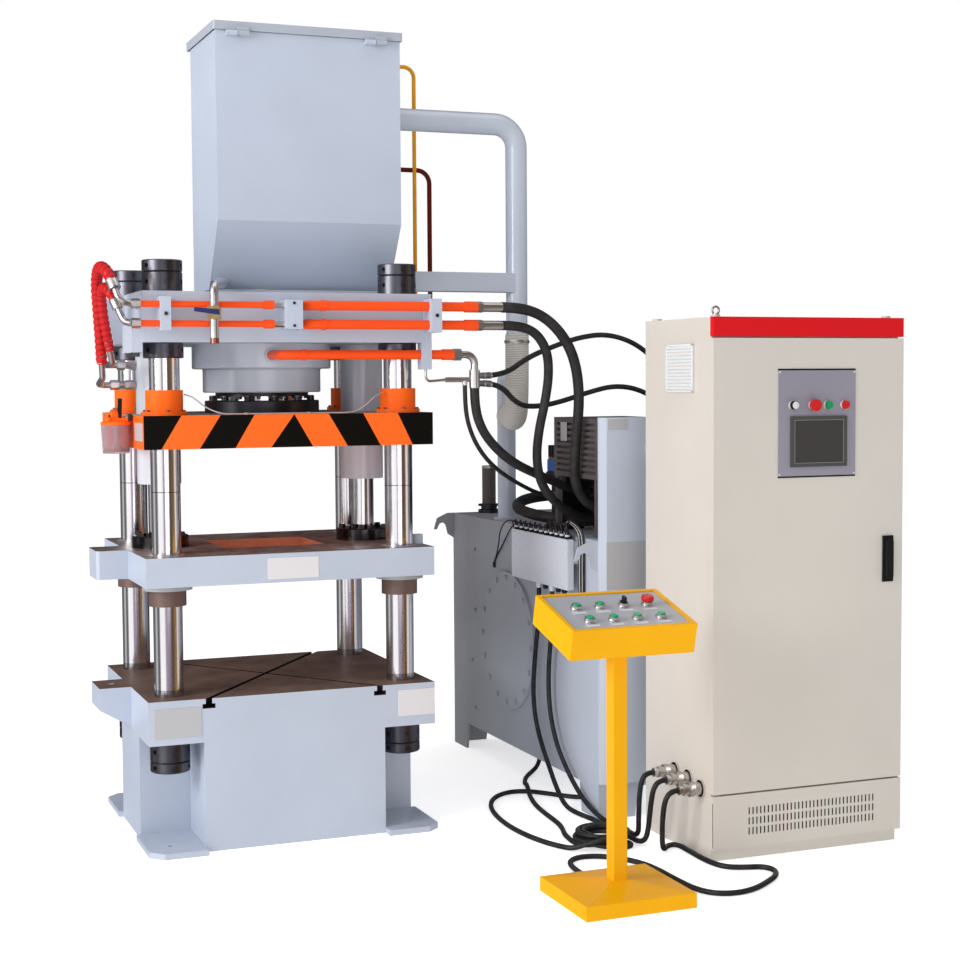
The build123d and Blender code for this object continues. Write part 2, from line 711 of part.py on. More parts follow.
# Lift cylinders' barrels, hung through the crown
with BuildPart() as lift_cylinders:
    with BuildSketch(Plane.XY.offset(BARREL_LOW)):
        with Locations(*LIFT_SPOTS):
            Circle(BARREL_D / 2)
            Circle(ROD_D / 2 + RUNNING, mode=Mode.SUBTRACT)
    extrude(amount=BARREL_GLAND_T)
    with BuildSketch(Plane.XY.offset(BARREL_LOW + BARREL_GLAND_T)):
        with Locations(*LIFT_SPOTS):
            Circle(BARREL_D / 2)
            Circle(BARREL_BORE_D / 2, mode=Mode.SUBTRACT)
    extrude(amount=CROWN_TOP - 20 - BARREL_LOW - BARREL_GLAND_T)
    with BuildSketch(Plane.XY.offset(CROWN_TOP - 20)):
        with Locations(*LIFT_SPOTS):
            Circle(BARREL_D / 2)
    extrude(amount=20)
lift_cylinders.part.label = "lift_cylinders"
export_step(lift_cylinders.part, "parts/lift_cylinders.step")

# Slider: plate with bores for the column bushes and holes for the lift barrels
with BuildPart() as slider_plate:
    with BuildSketch(Plane.XY.offset(SLIDER_LOW)):
        Rectangle(SLIDER_X, SLIDER_Y)
        with Locations(*COLUMN_SPOTS):
            Circle(BUSH_SPIGOT_D / 2 + SEAT, mode=Mode.SUBTRACT)
        with Locations(*LIFT_SPOTS):
            Circle(BARREL_HOLE_D / 2, mode=Mode.SUBTRACT)
    extrude(amount=SLIDER_T)
slider_plate.part.label = "slider_plate"
export_step(slider_plate.part, "parts/slider_plate.step")

# Ram with its piston
with BuildPart() as main_ram:
    with BuildSketch(Plane.XY.offset(SLIDER_TOP)):
        Circle(RAM_D / 2)
    extrude(amount=CROWN_TOP - CYLINDER_HEAD_T - 5 - SLIDER_TOP)
    with BuildSketch(Plane.XY.offset(CROWN_TOP - CYLINDER_HEAD_T - 5 - PISTON_T)):
        Circle(CYLINDER_BORE_D / 2 - RUNNING)
    extrude(amount=PISTON_T)
main_ram.part.label = "main_ram"
export_step(main_ram.part, "parts/main_ram.step")

# Bolted flange that holds the ram on the slider
with BuildPart() as ram_flange:
    with BuildSketch(Plane.XY.offset(SLIDER_TOP)):
        Circle(RAM_FLANGE_D / 2)
        Circle(RAM_D / 2 + SEAT, mode=Mode.SUBTRACT)
    extrude(amount=RAM_FLANGE_T)
    chamfer(ram_flange.edges().filter_by(GeomType.CIRCLE).group_by(Axis.Z)[-1], 3)
    with BuildSketch(Plane.XY.offset(SLIDER_TOP + RAM_FLANGE_T)):
        with PolarLocations(RAM_FLANGE_D / 2 - 25, RAM_BOLTS):
            Circle(RAM_BOLT_D / 2)
    extrude(amount=RAM_BOLT_H)
ram_flange.part.label = "ram_flange"
export_step(ram_flange.part, "parts/ram_flange.step")

# Flanged guide bushes of the slider
with BuildPart() as slider_bushes:
    for bush_low, bush_h, bush_d in (
        (SLIDER_LOW, SLIDER_T, BUSH_SPIGOT_D),
        (SLIDER_TOP, BUSH_FLANGE_T, BUSH_FLANGE_D),
        (SLIDER_TOP, BUSH_H, BUSH_D),
    ):
        with BuildSketch(Plane.XY.offset(bush_low)):
            with Locations(*COLUMN_SPOTS):
                Circle(bush_d / 2)
        extrude(amount=bush_h)
    with BuildSketch(Plane.XY.offset(SLIDER_LOW)):
        with Locations(*COLUMN_SPOTS):
            Circle(COLUMN_D / 2 + RUNNING)
    extrude(amount=SLIDER_T + BUSH_H, mode=Mode.SUBTRACT)
slider_bushes.part.label = "slider_bushes"
export_step(slider_bushes.part, "parts/slider_bushes.step")

# Hand pump for way oil on the slider's left end: cup, head and mounting plate
PUMP_X = -558
PUMP_Y = -200
CUP_TOP_D = 104
CUP_LOW_D = 90
CUP_LOW = 1357
CUP_H = 98
with BuildPart() as lube_pump:
    with BuildSketch(Plane.XY.offset(CUP_LOW)):
        with Locations((PUMP_X - 6, PUMP_Y)):
            Circle(CUP_LOW_D / 2)
    with BuildSketch(Plane.XY.offset(CUP_LOW + CUP_H)):
        with Locations((PUMP_X - 6, PUMP_Y)):
            Circle(CUP_TOP_D / 2 - 6)
    loft()
    with BuildSketch(Plane.XY.offset(CUP_LOW + CUP_H)):
        with Locations((PUMP_X - 1, PUMP_Y)):
            Circle(CUP_TOP_D / 2 - 5)
    extrude(amount=10)
    with BuildSketch(Plane.YZ.offset(PUMP_X - 26)):
        with Locations((PUMP_Y, CUP_LOW + CUP_H + 28)):
            Circle(22)
    extrude(amount=26)
    with BuildSketch(Plane.XY.offset(CUP_LOW + CUP_H)):
        with Locations(((PUMP_X - SLIDER_X / 2) / 2 - 2, PUMP_Y)):
            Rectangle(PUMP_X * -1 - SLIDER_X / 2 + 4, 60)
    extrude(amount=12)
    with BuildSketch(Plane.YZ.offset(PUMP_X - 27)):
        with Locations((PUMP_Y, CUP_LOW + CUP_H + 28)):
            Circle(6 + RUNNING)
    extrude(amount=54, mode=Mode.SUBTRACT)
lube_pump.part.label = "lube_pump"
export_step(lube_pump.part, "parts/lube_pump.step")

# The hand pump's lever on its cross shaft
lever_z = CUP_LOW + CUP_H + 28
with BuildPart() as lube_lever:
    with BuildSketch(Plane.YZ.offset(PUMP_X - 30)):
        with Locations((PUMP_Y, lever_z)):
            Circle(6)
    extrude(amount=43)
    with BuildSketch(Plane.YZ.offset(PUMP_X + 1)):
        with BuildLine():
            Polyline(
                (PUMP_Y - 9, lever_z - 9),
                (PUMP_Y + 9, lever_z - 9),
                (PUMP_Y + 8, lever_z + 20),
                (PUMP_Y - 4, lever_z + 62),
                (PUMP_Y - 22, lever_z + 60),
                (PUMP_Y - 9, lever_z + 12),
                close=True,
            )
        make_face()
    extrude(amount=12)
lube_lever.part.label = "lube_lever"
export_step(lube_lever.part, "parts/lube_lever.step")

# Thin oil lines from the front bushes down to the slider's top and along it
LINE_D = 5
line_z = SLIDER_TOP + LINE_D / 2 + 0.2
line_y = -SLIDER_Y / 2 + 8
bush_side = COLUMN_X - BUSH_D / 2
lube_lines_route = [
    (-bush_side - 1, -COLUMN_Y - 30, SLIDER_TOP + 70),
    (-bush_side + 22, -COLUMN_Y - 50, SLIDER_TOP + 62),
    (-bush_side + 66, line_y + 26, SLIDER_TOP + 22),
    (-bush_side + 112, line_y, line_z),
    (0, line_y + 2, line_z),
    (bush_side - 135, line_y, line_z),
    (bush_side - 85, line_y + 22, SLIDER_TOP + 24),
    (bush_side - 40, -COLUMN_Y - 60, SLIDER_TOP + 60),
    (bush_side + 1, -COLUMN_Y - 30, SLIDER_TOP + 72),
]
lube_lines = tube(lube_lines_route, LINE_D)
lube_lines.label = "lube_lines"
export_step(lube_lines, "parts/lube_lines.step")

# Middle platen with its square die opening
with BuildPart() as middle_platen:
    with BuildSketch(Plane.XY.offset(PLATEN_LOW)):
        Rectangle(PLATEN_X, PLATEN_Y)
        with Locations((-PLATEN_X / 2 - LUG_REACH / 2 + 5, 0)):
            Rectangle(LUG_REACH + 10, LUG_W)
        Rectangle(DIE_X, DIE_Y, mode=Mode.SUBTRACT)
        with Locations(*COLUMN_SPOTS):
            Circle(PLATEN_BUSH_D / 2 + SEAT, mode=Mode.SUBTRACT)
    extrude(amount=PLATEN_T)
    lug_corners = middle_platen.edges().filter_by(Axis.Z).group_by(Axis.X)[0]
    fillet(lug_corners, 14)
    with BuildSketch(Plane.XY.offset(PLATEN_TOP)):
        with Locations((PLATEN_X / 2 - STOP_D / 2 - 1, -COLUMN_Y + 7)):
            Circle(STOP_D / 2)
    extrude(amount=STOP_H)
middle_platen.part.label = "middle_platen"
export_step(middle_platen.part, "parts/middle_platen.step")

# Guide bushes of the platen, each with a ring under the plate
with BuildPart() as platen_bushes:
    for bush_low, bush_h, bush_d in (
        (PLATEN_LOW, PLATEN_T, PLATEN_BUSH_D),
        (PLATEN_LOW - PLATEN_RING_T, PLATEN_RING_T, PLATEN_RING_D),
        (PLATEN_LOW - PLATEN_RING_T - PLATEN_BUSH_H, PLATEN_BUSH_H, PLATEN_BUSH_D),
    ):
        with BuildSketch(Plane.XY.offset(bush_low)):
            with Locations(*COLUMN_SPOTS):
                Circle(bush_d / 2)
                Circle(COLUMN_D / 2 + RUNNING, mode=Mode.SUBTRACT)
        extrude(amount=bush_h)
platen_bushes.part.label = "platen_bushes"
export_step(platen_bushes.part, "parts/platen_bushes.step")

# Lift rods: piston, rod and bolted foot flange
rod_top = CROWN_TOP - 20 - 12
with BuildPart() as lift_rods:
    with BuildSketch(Plane.XY.offset(PLATEN_TOP)):
        with Locations(*LIFT_SPOTS):
            Circle(ROD_FLANGE_D / 2)
    extrude(amount=ROD_FLANGE_T)
    chamfer(lift_rods.edges().filter_by(GeomType.CIRCLE).group_by(Axis.Z)[-1], 3)
    for spot_x, spot_y in LIFT_SPOTS:
        with BuildSketch(Plane(origin=(spot_x, spot_y, PLATEN_TOP + ROD_FLANGE_T))):
            with PolarLocations(ROD_FLANGE_D / 2 - 20, ROD_BOLTS, start_angle=30):
                RegularPolygon(12, 6)
        extrude(amount=12)
    with BuildSketch(Plane.XY.offset(PLATEN_TOP + ROD_FLANGE_T)):
        with Locations(*LIFT_SPOTS):
            Circle(ROD_D / 2)
    extrude(amount=rod_top - PLATEN_TOP - ROD_FLANGE_T)
    with BuildSketch(Plane.XY.offset(rod_top - ROD_PISTON_T)):
        with Locations(*LIFT_SPOTS):
            Circle(BARREL_BORE_D / 2 - RUNNING)
    extrude(amount=ROD_PISTON_T)
lift_rods.part.label = "lift_rods"
export_step(lift_rods.part, "parts/lift_rods.step")

# Overhead return pipe from the tank, its square stay, and the riser on the oil tank
OVER_X = 1010
OVER_Z = 2572
OVER_D = 82
OVER_LOW = 1776
STAY_Z = 1971
STAY_H = 72
SPIGOT_Z = 1452
SPIGOT_END = Vector(1156, 452, SPIGOT_Z)
with BuildPart() as overhead:
    add(tube([(TANK_RIGHT, 0, OVER_Z), (OVER_X, 0, OVER_Z), (OVER_X, 0, OVER_LOW)], OVER_D, bend=88))
    with BuildSketch(Plane.YZ.offset(TANK_RIGHT)):
        with Locations((0, OVER_Z)):
            Circle(OVER_D / 2 + 22)
    extrude(amount=8)
    with BuildSketch(Plane.YZ.offset(TANK_RIGHT)):
        with Locations((0, STAY_Z)):
            Rectangle(STAY_H, STAY_H)
    extrude(amount=OVER_X - TANK_RIGHT)
with BuildPart() as riser:
    with BuildSketch(Plane.XY.offset(OIL_TANK_TOP)):
        with Locations((RISER_X, RISER_Y)):
            Circle(RISER_D / 2 + 18)
    extrude(amount=10)
    with BuildSketch(Plane.XY.offset(OIL_TANK_TOP)):
        with Locations((RISER_X, RISER_Y)):
            Circle(RISER_D / 2)
    extrude(amount=RISER_TOP - OIL_TANK_TOP)
    fillet(riser.edges().filter_by(GeomType.CIRCLE).sort_by(Axis.Z)[-1], 24)
    add(bar(tuple(SPIGOT_END), (RISER_X, RISER_Y, SPIGOT_Z), OVER_D - 14))
return_pipe = Compound(children=[overhead.part.solid(), riser.part.solid()])
return_pipe.label = "return_pipe"
export_step(return_pipe, "parts/return_pipe.step")

# Pilot pipes from the tank's right side down to the crown
PILOT_D = 15
yellow = tube(
    [
        (TANK_RIGHT, 100, 2785),
        (632, 100, 2785),
        (632, 100, CROWN_TOP - 52),
        (CROWN_X / 2, 100, CROWN_TOP - 52),
    ],
    PILOT_D,
    bend=40,
)
dark_red = tube(
    [
        (TANK_RIGHT, 140, 2404),
        (706, 140, 2404),
        (706, 140, CROWN_LOW + 60),
        (CROWN_X / 2, 140, CROWN_LOW + 60),
    ],
    PILOT_D + 3,
    bend=50,
)
pilot_pipes = Compound(children=[yellow.solid(), dark_red.solid()])
pilot_pipes.label = "pilot_pipes"
export_step(pilot_pipes, "parts/pilot_pipes.step")

# Oil tank: closed box on bent corner legs, with hook plates at both left corners
oil_right = OIL_TANK_LEFT + OIL_TANK_X
with BuildPart() as oil_tank:
    with BuildSketch(Plane.XY.offset(OIL_TANK_LOW)):
        with Locations((OIL_TANK_LEFT + OIL_TANK_X / 2, (OIL_TANK_FRONT + OIL_TANK_BACK) / 2)):
            Rectangle(OIL_TANK_X, OIL_TANK_BACK - OIL_TANK_FRONT)
    extrude(amount=OIL_TANK_TOP - OIL_TANK_LOW)
    for side_x, inward_x in ((OIL_TANK_LEFT, 1), (oil_right, -1)):
        for end_y, inward_y in ((OIL_TANK_FRONT, 1), (OIL_TANK_BACK, -1)):
            with BuildSketch(Plane.YZ.offset(side_x)):
                with BuildLine():
                    Polyline(
                        (end_y, OIL_TANK_LOW),
                        (end_y + inward_y * LEG_W, OIL_TANK_LOW),
                        (end_y + inward_y * (LEG_W - LEG_TAPER), 0),
                        (end_y, 0),
                        close=True,
                    )
                make_face()
            extrude(amount=inward_x * LEG_T)
            with BuildSketch(Plane.XZ.offset(-end_y)):
                with BuildLine():
                    Polyline(
                        (side_x, OIL_TANK_LOW),
                        (side_x + inward_x * LEG_W, OIL_TANK_LOW),
                        (side_x + inward_x * (LEG_W - LEG_TAPER), 0),
                        (side_x, 0),
                        close=True,
                    )
                make_face()
            extrude(amount=-inward_y * LEG_T)
    for hook_y in (OIL_TANK_FRONT + LEG_T, OIL_TANK_BACK):
        with BuildSketch(Plane.XZ.offset(-hook_y)):
            with BuildLine():
                Polyline(
                    (OIL_TANK_LEFT + 20, OIL_TANK_TOP),
                    (OIL_TANK_LEFT - 30, OIL_TANK_TOP),
                    (OIL_TANK_LEFT - 78, OIL_TANK_TOP - 22),
                    (OIL_TANK_LEFT - 92, OIL_TANK_TOP - 70),
                    (OIL_TANK_LEFT - 80, OIL_TANK_TOP - 70),
                    (OIL_TANK_LEFT - 68, OIL_TANK_TOP - 46),
                    (OIL_TANK_LEFT - 52, OIL_TANK_TOP - 40),
                    (OIL_TANK_LEFT - 38, OIL_TANK_TOP - 52),
                    (OIL_TANK_LEFT - 28, OIL_TANK_TOP - 92),
                    (OIL_TANK_LEFT, OIL_TANK_TOP - 110),
                    (OIL_TANK_LEFT + 20, OIL_TANK_TOP - 110),
                    close=True,
                )
            make_face()
        extrude(amount=LEG_T)
oil_tank.part.label = "oil_tank"
export_step(oil_tank.part, "parts/oil_tank.step")

# Round manhole cover on the tank's left side
with BuildPart() as manhole_cover:
    with BuildSketch(Plane.YZ.offset(OIL_TANK_LEFT)):
        with Locations((MANHOLE_Y, MANHOLE_Z)):
            Circle(MANHOLE_D / 2)
    extrude(amount=-MANHOLE_T)
    with BuildSketch(Plane.YZ.offset(OIL_TANK_LEFT - MANHOLE_T)):
        with Locations((MANHOLE_Y, MANHOLE_Z)):
            with PolarLocations(MANHOLE_BOLT_R, MANHOLE_BOLTS):
                RegularPolygon(11, 6)
    extrude(amount=-8)
manhole_cover.part.label = "manhole_cover"
export_step(manhole_cover.part, "parts/manhole_cover.step")

# Terminal box on the same side, over the manhole, with two rows of cable glands
BOX_COVER_T = 24
CABLE_D = 18
BOX_Y = -122
BOX_W = 536
BOX_LOW = 822
BOX_H = 188
GLAND_SPOTS = [-220, -97]
gland_x = OIL_TANK_LEFT - MANHOLE_T - 10 - BOX_COVER_T / 2
with BuildPart() as terminal_box:
    with BuildSketch(Plane.YZ.offset(OIL_TANK_LEFT - MANHOLE_T - 10)):
        with Locations((BOX_Y, BOX_LOW + BOX_H / 2)):
            RectangleRounded(BOX_W, BOX_H, 6)
    extrude(amount=-BOX_COVER_T)
    with BuildSketch(Plane.YZ.offset(OIL_TANK_LEFT)):
        with Locations((BOX_Y, BOX_LOW + BOX_H - 50)):
            Rectangle(BOX_W - 20, 84)
    extrude(amount=-MANHOLE_T - 10)
    with BuildSketch(Plane.XY.offset(BOX_LOW)):
        with Locations(*[(gland_x, y) for y in GLAND_SPOTS]):
            Circle(CABLE_D / 2 + 2)
    extrude(amount=-20)
    with BuildSketch(Plane.XY.offset(BOX_LOW + BOX_H)):
        with Locations(*[(gland_x, y) for y in range(-362, 130, 48)]):
            Circle(9)
    extrude(amount=16)
terminal_box.part.label = "terminal_box"
export_step(terminal_box.part, "parts/terminal_box.step")

# Tall guard panel on the tank's front, folded back at both sides, with a gauge
with BuildPart() as guard_panel:
    with BuildSketch(Plane.XY.offset(OIL_TANK_LOW + 20)):
        with BuildLine():
            Polyline(
                (OIL_TANK_LEFT, OIL_TANK_FRONT),
                (OIL_TANK_LEFT, OIL_TANK_FRONT - PANEL_DEPTH + 12),
                (OIL_TANK_LEFT + 24, OIL_TANK_FRONT - PANEL_DEPTH),
                (oil_right, OIL_TANK_FRONT - PANEL_DEPTH),
                (oil_right, OIL_TANK_FRONT),
                close=True,
            )
        make_face()
    extrude(amount=PANEL_TOP - OIL_TANK_LOW - 20)
    with BuildSketch(Plane.XY.offset(OIL_TANK_TOP)):
        with Locations((OIL_TANK_LEFT + OIL_TANK_X / 2 + 10, OIL_TANK_FRONT - PANEL_DEPTH / 2 + 4 + PANEL_WALL)):
            Rectangle(OIL_TANK_X - 40, PANEL_DEPTH - 2)
    extrude(amount=PANEL_TOP - OIL_TANK_TOP - PANEL_WALL, mode=Mode.SUBTRACT)
guard_panel.part.label = "guard_panel"
export_step(guard_panel.part, "parts/guard_panel.step")

# Finned oil cooler on four posts behind the panel
COOLER_LEFT = 1126
COOLER_X = 294
COOLER_FRONT = -478
COOLER_Y = 390
COOLER_LOW = 1232
COOLER_TOP = 1456
COOLER_POST = 20
with BuildPart() as oil_cooler:
    with BuildSketch(Plane.XY.offset(COOLER_LOW)):
        with Locations((COOLER_LEFT + COOLER_X / 2, COOLER_FRONT + COOLER_Y / 2)):
            Rectangle(COOLER_X, COOLER_Y)
    extrude(amount=COOLER_TOP - COOLER_LOW)
    with BuildSketch(Plane.XY.offset(OIL_TANK_TOP)):
        with Locations((COOLER_LEFT + COOLER_X / 2, COOLER_FRONT + COOLER_Y / 2)):
            with GridLocations(COOLER_X - COOLER_POST, COOLER_Y - 2 * COOLER_POST, 2, 2):
                Rectangle(COOLER_POST, COOLER_POST)
    extrude(amount=COOLER_LOW - OIL_TANK_TOP)
    with BuildSketch(Plane.YZ.offset(COOLER_LEFT)):
        for step in range(9):
            with Locations((COOLER_FRONT + COOLER_Y / 2, COOLER_LOW + 24 + 22 * step)):
                Rectangle(COOLER_Y - 50, 10)
    extrude(amount=12, mode=Mode.SUBTRACT)
oil_cooler.part.label = "oil_cooler"
export_step(oil_cooler.part, "parts/oil_cooler.step")

# Valve stack: the manifold under the cooler and a tower with a solenoid valve
MANIFOLD_LEFT = 1320
MANIFOLD_X = 64
MANIFOLD_Y = 330
MANIFOLD_MID_Y = -190
TOWER_X = 1225
TOWER_Y = 5
TOWER_H = 182
SIDE_BLOCK_X = 112
SIDE_BLOCK_Y = 216
SIDE_BLOCK_H = 206
SUB_PLATE_H = 34
SOLENOID_X = 60
SOLENOID_Z = 48
SOLENOID_Y = 130
SOLENOID_TUBE_D = 38
RELAY_X = 52
RELAY_H = 56
solenoid_mid = OIL_TANK_TOP + TOWER_H + SUB_PLATE_H + SOLENOID_Z / 2
with BuildPart() as valve_stack:
    with BuildSketch(Plane.XY.offset(OIL_TANK_TOP)):
        with Locations((MANIFOLD_LEFT + MANIFOLD_X / 2, MANIFOLD_MID_Y)):
            Rectangle(MANIFOLD_X, MANIFOLD_Y)
        with Locations((TOWER_X, TOWER_Y)):
            Rectangle(90, 110)
    extrude(amount=TOWER_H)
    with BuildSketch(Plane.XY.offset(OIL_TANK_TOP)):
        with Locations((MANIFOLD_LEFT + 26, 150)):
            Rectangle(SIDE_BLOCK_X, SIDE_BLOCK_Y)
    extrude(amount=SIDE_BLOCK_H)
    with BuildSketch(Plane.XY.offset(OIL_TANK_TOP + TOWER_H)):
        with Locations((TOWER_X, TOWER_Y + 30)):
            Rectangle(76, 190)
    extrude(amount=SUB_PLATE_H)
    with BuildSketch(Plane.XZ.offset(-TOWER_Y - SOLENOID_Y)):
        with Locations((TOWER_X, solenoid_mid)):
            Rectangle(SOLENOID_X, SOLENOID_Z)
    extrude(amount=SOLENOID_Y)
    with BuildSketch(Plane.XZ.offset(-TOWER_Y)):
        with Locations((TOWER_X, solenoid_mid)):
            Circle(SOLENOID_TUBE_D / 2)
    extrude(amount=70)
    with BuildSketch(Plane.XY.offset(solenoid_mid + SOLENOID_Z / 2)):
        with Locations((TOWER_X, TOWER_Y + SOLENOID_Y / 2)):
            Rectangle(RELAY_X, SOLENOID_Y)
    extrude(amount=RELAY_H)
valve_stack.part.label = "valve_stack"
export_step(valve_stack.part, "parts/valve_stack.step")

# Motor and pump in line on the tank: frame, bell housing and pump, turned in one profile each
motor_back = MOTOR_FRONT + MOTOR_L
motor_axis = Axis((MOTOR_X, 0, MOTOR_Z), (0, 1, 0))
rotor_d = 160
fan_d = 200
PUMP_PORTS = [MOTOR_FRONT - BELL_L - 48, MOTOR_FRONT - BELL_L - 100]
port_top = MOTOR_Z + 62 + 28
with BuildPart() as motor_frame:
    with BuildSketch(Plane.YZ.offset(MOTOR_X)):
        with BuildLine():
            Polyline(
                (MOTOR_FRONT - BELL_L, MOTOR_Z + 62),
                (MOTOR_FRONT - BELL_L, MOTOR_Z + 92),
                (MOTOR_FRONT - 14, MOTOR_Z + MOTOR_R),
                (motor_back - 70, MOTOR_Z + MOTOR_R),
                (motor_back, MOTOR_Z + MOTOR_R - 8),
                (motor_back, MOTOR_Z + 40),
                (motor_back - 4, MOTOR_Z + 40),
                (motor_back - 4, MOTOR_Z + fan_d / 2 + 10),
                (motor_back - 66, MOTOR_Z + fan_d / 2 + 10),
                (motor_back - 66, MOTOR_Z + SHAFT_D / 2 + RUNNING),
                (motor_back - 84, MOTOR_Z + SHAFT_D / 2 + RUNNING),
                (motor_back - 84, MOTOR_Z + rotor_d / 2 + 3),
                (MOTOR_FRONT + 20, MOTOR_Z + rotor_d / 2 + 3),
                (MOTOR_FRONT + 20, MOTOR_Z + SHAFT_D / 2 + RUNNING),
                (MOTOR_FRONT, MOTOR_Z + SHAFT_D / 2 + RUNNING),
                (MOTOR_FRONT, MOTOR_Z + 62),
                close=True,
            )
        make_face()
    revolve(axis=motor_axis)
    with BuildSketch(Plane.XY.offset(OIL_TANK_TOP)):
        with Locations((MOTOR_X, MOTOR_FRONT + 190)):
            with GridLocations(170, 190, 2, 2):
                Rectangle(60, 70)
    extrude(amount=MOTOR_Z - OIL_TANK_TOP - 90)
    with BuildSketch(Plane.XY.offset(MOTOR_Z + MOTOR_R - 14)):
        with Locations((MOTOR_X, MOTOR_FRONT + 120)):
            Rectangle(110, 130)
    extrude(amount=64)
    with Locations(Location((MOTOR_X, MOTOR_FRONT + 188, MOTOR_Z), (90, 0, 0))):
        Cylinder(rotor_d / 2 + 3, 296, mode=Mode.SUBTRACT)
with BuildPart() as pump:
    with BuildSketch(Plane.XZ.offset(-(MOTOR_FRONT - BELL_L))):
        with Locations((MOTOR_X, MOTOR_Z)):
            Circle(92)
    extrude(amount=16)
    with BuildSketch(Plane.XZ.offset(-(MOTOR_FRONT - BELL_L - 16))):
        with Locations((MOTOR_X, MOTOR_Z)):
            RectangleRounded(124, 124, 24)
    extrude(amount=PUMP_L - 16)
    with BuildSketch(Plane.XY.offset(MOTOR_Z + 62)):
        with Locations(*[(MOTOR_X, y) for y in PUMP_PORTS]):
            Circle(18)
    extrude(amount=28)
pump_motor = Compound(children=[motor_frame.part.solid(), pump.part.solid()])
pump_motor.label = "pump_motor"
export_step(pump_motor, "parts/pump_motor.step")

# Motor shaft with rotor, coupling half and fan
with BuildPart() as motor_shaft:
    with BuildSketch(Plane.YZ.offset(MOTOR_X)):
        with BuildLine():
            Polyline(
                (MOTOR_FRONT - BELL_L + 8, MOTOR_Z),
                (MOTOR_FRONT - BELL_L + 8, MOTOR_Z + 50),
                (MOTOR_FRONT - 30, MOTOR_Z + 50),
                (MOTOR_FRONT - 30, MOTOR_Z + SHAFT_D / 2),
                (MOTOR_FRONT + 30, MOTOR_Z + SHAFT_D / 2),
                (MOTOR_FRONT + 30, MOTOR_Z + rotor_d / 2),
                (motor_back - 96, MOTOR_Z + rotor_d / 2),
                (motor_back - 96, MOTOR_Z + SHAFT_D / 2),
                (motor_back - 50, MOTOR_Z + SHAFT_D / 2),
                (motor_back - 50, MOTOR_Z + 36),
                (motor_back - 14, MOTOR_Z + 36),
                (motor_back - 14, MOTOR_Z),
                close=True,
            )
        make_face()
    revolve(axis=motor_axis)
    for blade in range(8):
        with BuildSketch(Plane.XZ.offset(-(motor_back - 16))):
            with Locations((MOTOR_X, MOTOR_Z)):
                with PolarLocations(62, 1, start_angle=45 * blade):
                    Rectangle(62, 6)
        extrude(amount=32)
motor_shaft.part.label = "motor_shaft"
export_step(motor_shaft.part, "parts/motor_shaft.step")

# Breather, drain plug and pressure gauge of the power unit
GAUGE_X = 1304
GAUGE_Z = 1346
with BuildPart() as breather:
    for part_d, part_low, part_h in ((96, 0, 14), (70, 14, 16), (96, 30, 8), (58, 38, 160), (52, 198, 6)):
        with BuildSketch(Plane.XY.offset(OIL_TANK_TOP + part_low)):
            with Locations((1236, 866)):
                Circle(part_d / 2)
        extrude(amount=part_h)
with BuildPart() as drain_plug:
    with BuildSketch(Plane.XZ.offset(-OIL_TANK_BACK)):
        with Locations((OIL_TANK_LEFT + 40, OIL_TANK_LOW + 40)):
            Circle(16)
    extrude(amount=-22)
    with BuildSketch(Plane.XZ.offset(-OIL_TANK_BACK - 22)):
        with Locations((OIL_TANK_LEFT + 40, OIL_TANK_LOW + 40)):
            RegularPolygon(20, 6)
    extrude(amount=-14)
STUB_X = 1500
STUB_Y = 342
STUB_Z = 1124
LOOP_END = Vector(STUB_X - 41, STUB_Y, STUB_Z)
with BuildPart() as return_stub:
    with BuildSketch(Plane.XY.offset(OIL_TANK_TOP)):
        with Locations((STUB_X, STUB_Y)):
            Circle(26)
    extrude(amount=STUB_Z + 36 - OIL_TANK_TOP)
    add(bar(tuple(LOOP_END), (STUB_X, STUB_Y, STUB_Z), 48))
with BuildPart() as gauge:
    with BuildSketch(Plane.XZ.offset(-OIL_TANK_FRONT + PANEL_DEPTH)):
        with Locations((GAUGE_X, GAUGE_Z)):
            Circle(36)
    extrude(amount=22)
tank_fittings = Compound(children=[piece.part.solid() for piece in (breather, drain_plug, return_stub, gauge)])
tank_fittings.label = "tank_fittings"
export_step(tank_fittings, "parts/tank_fittings.step")

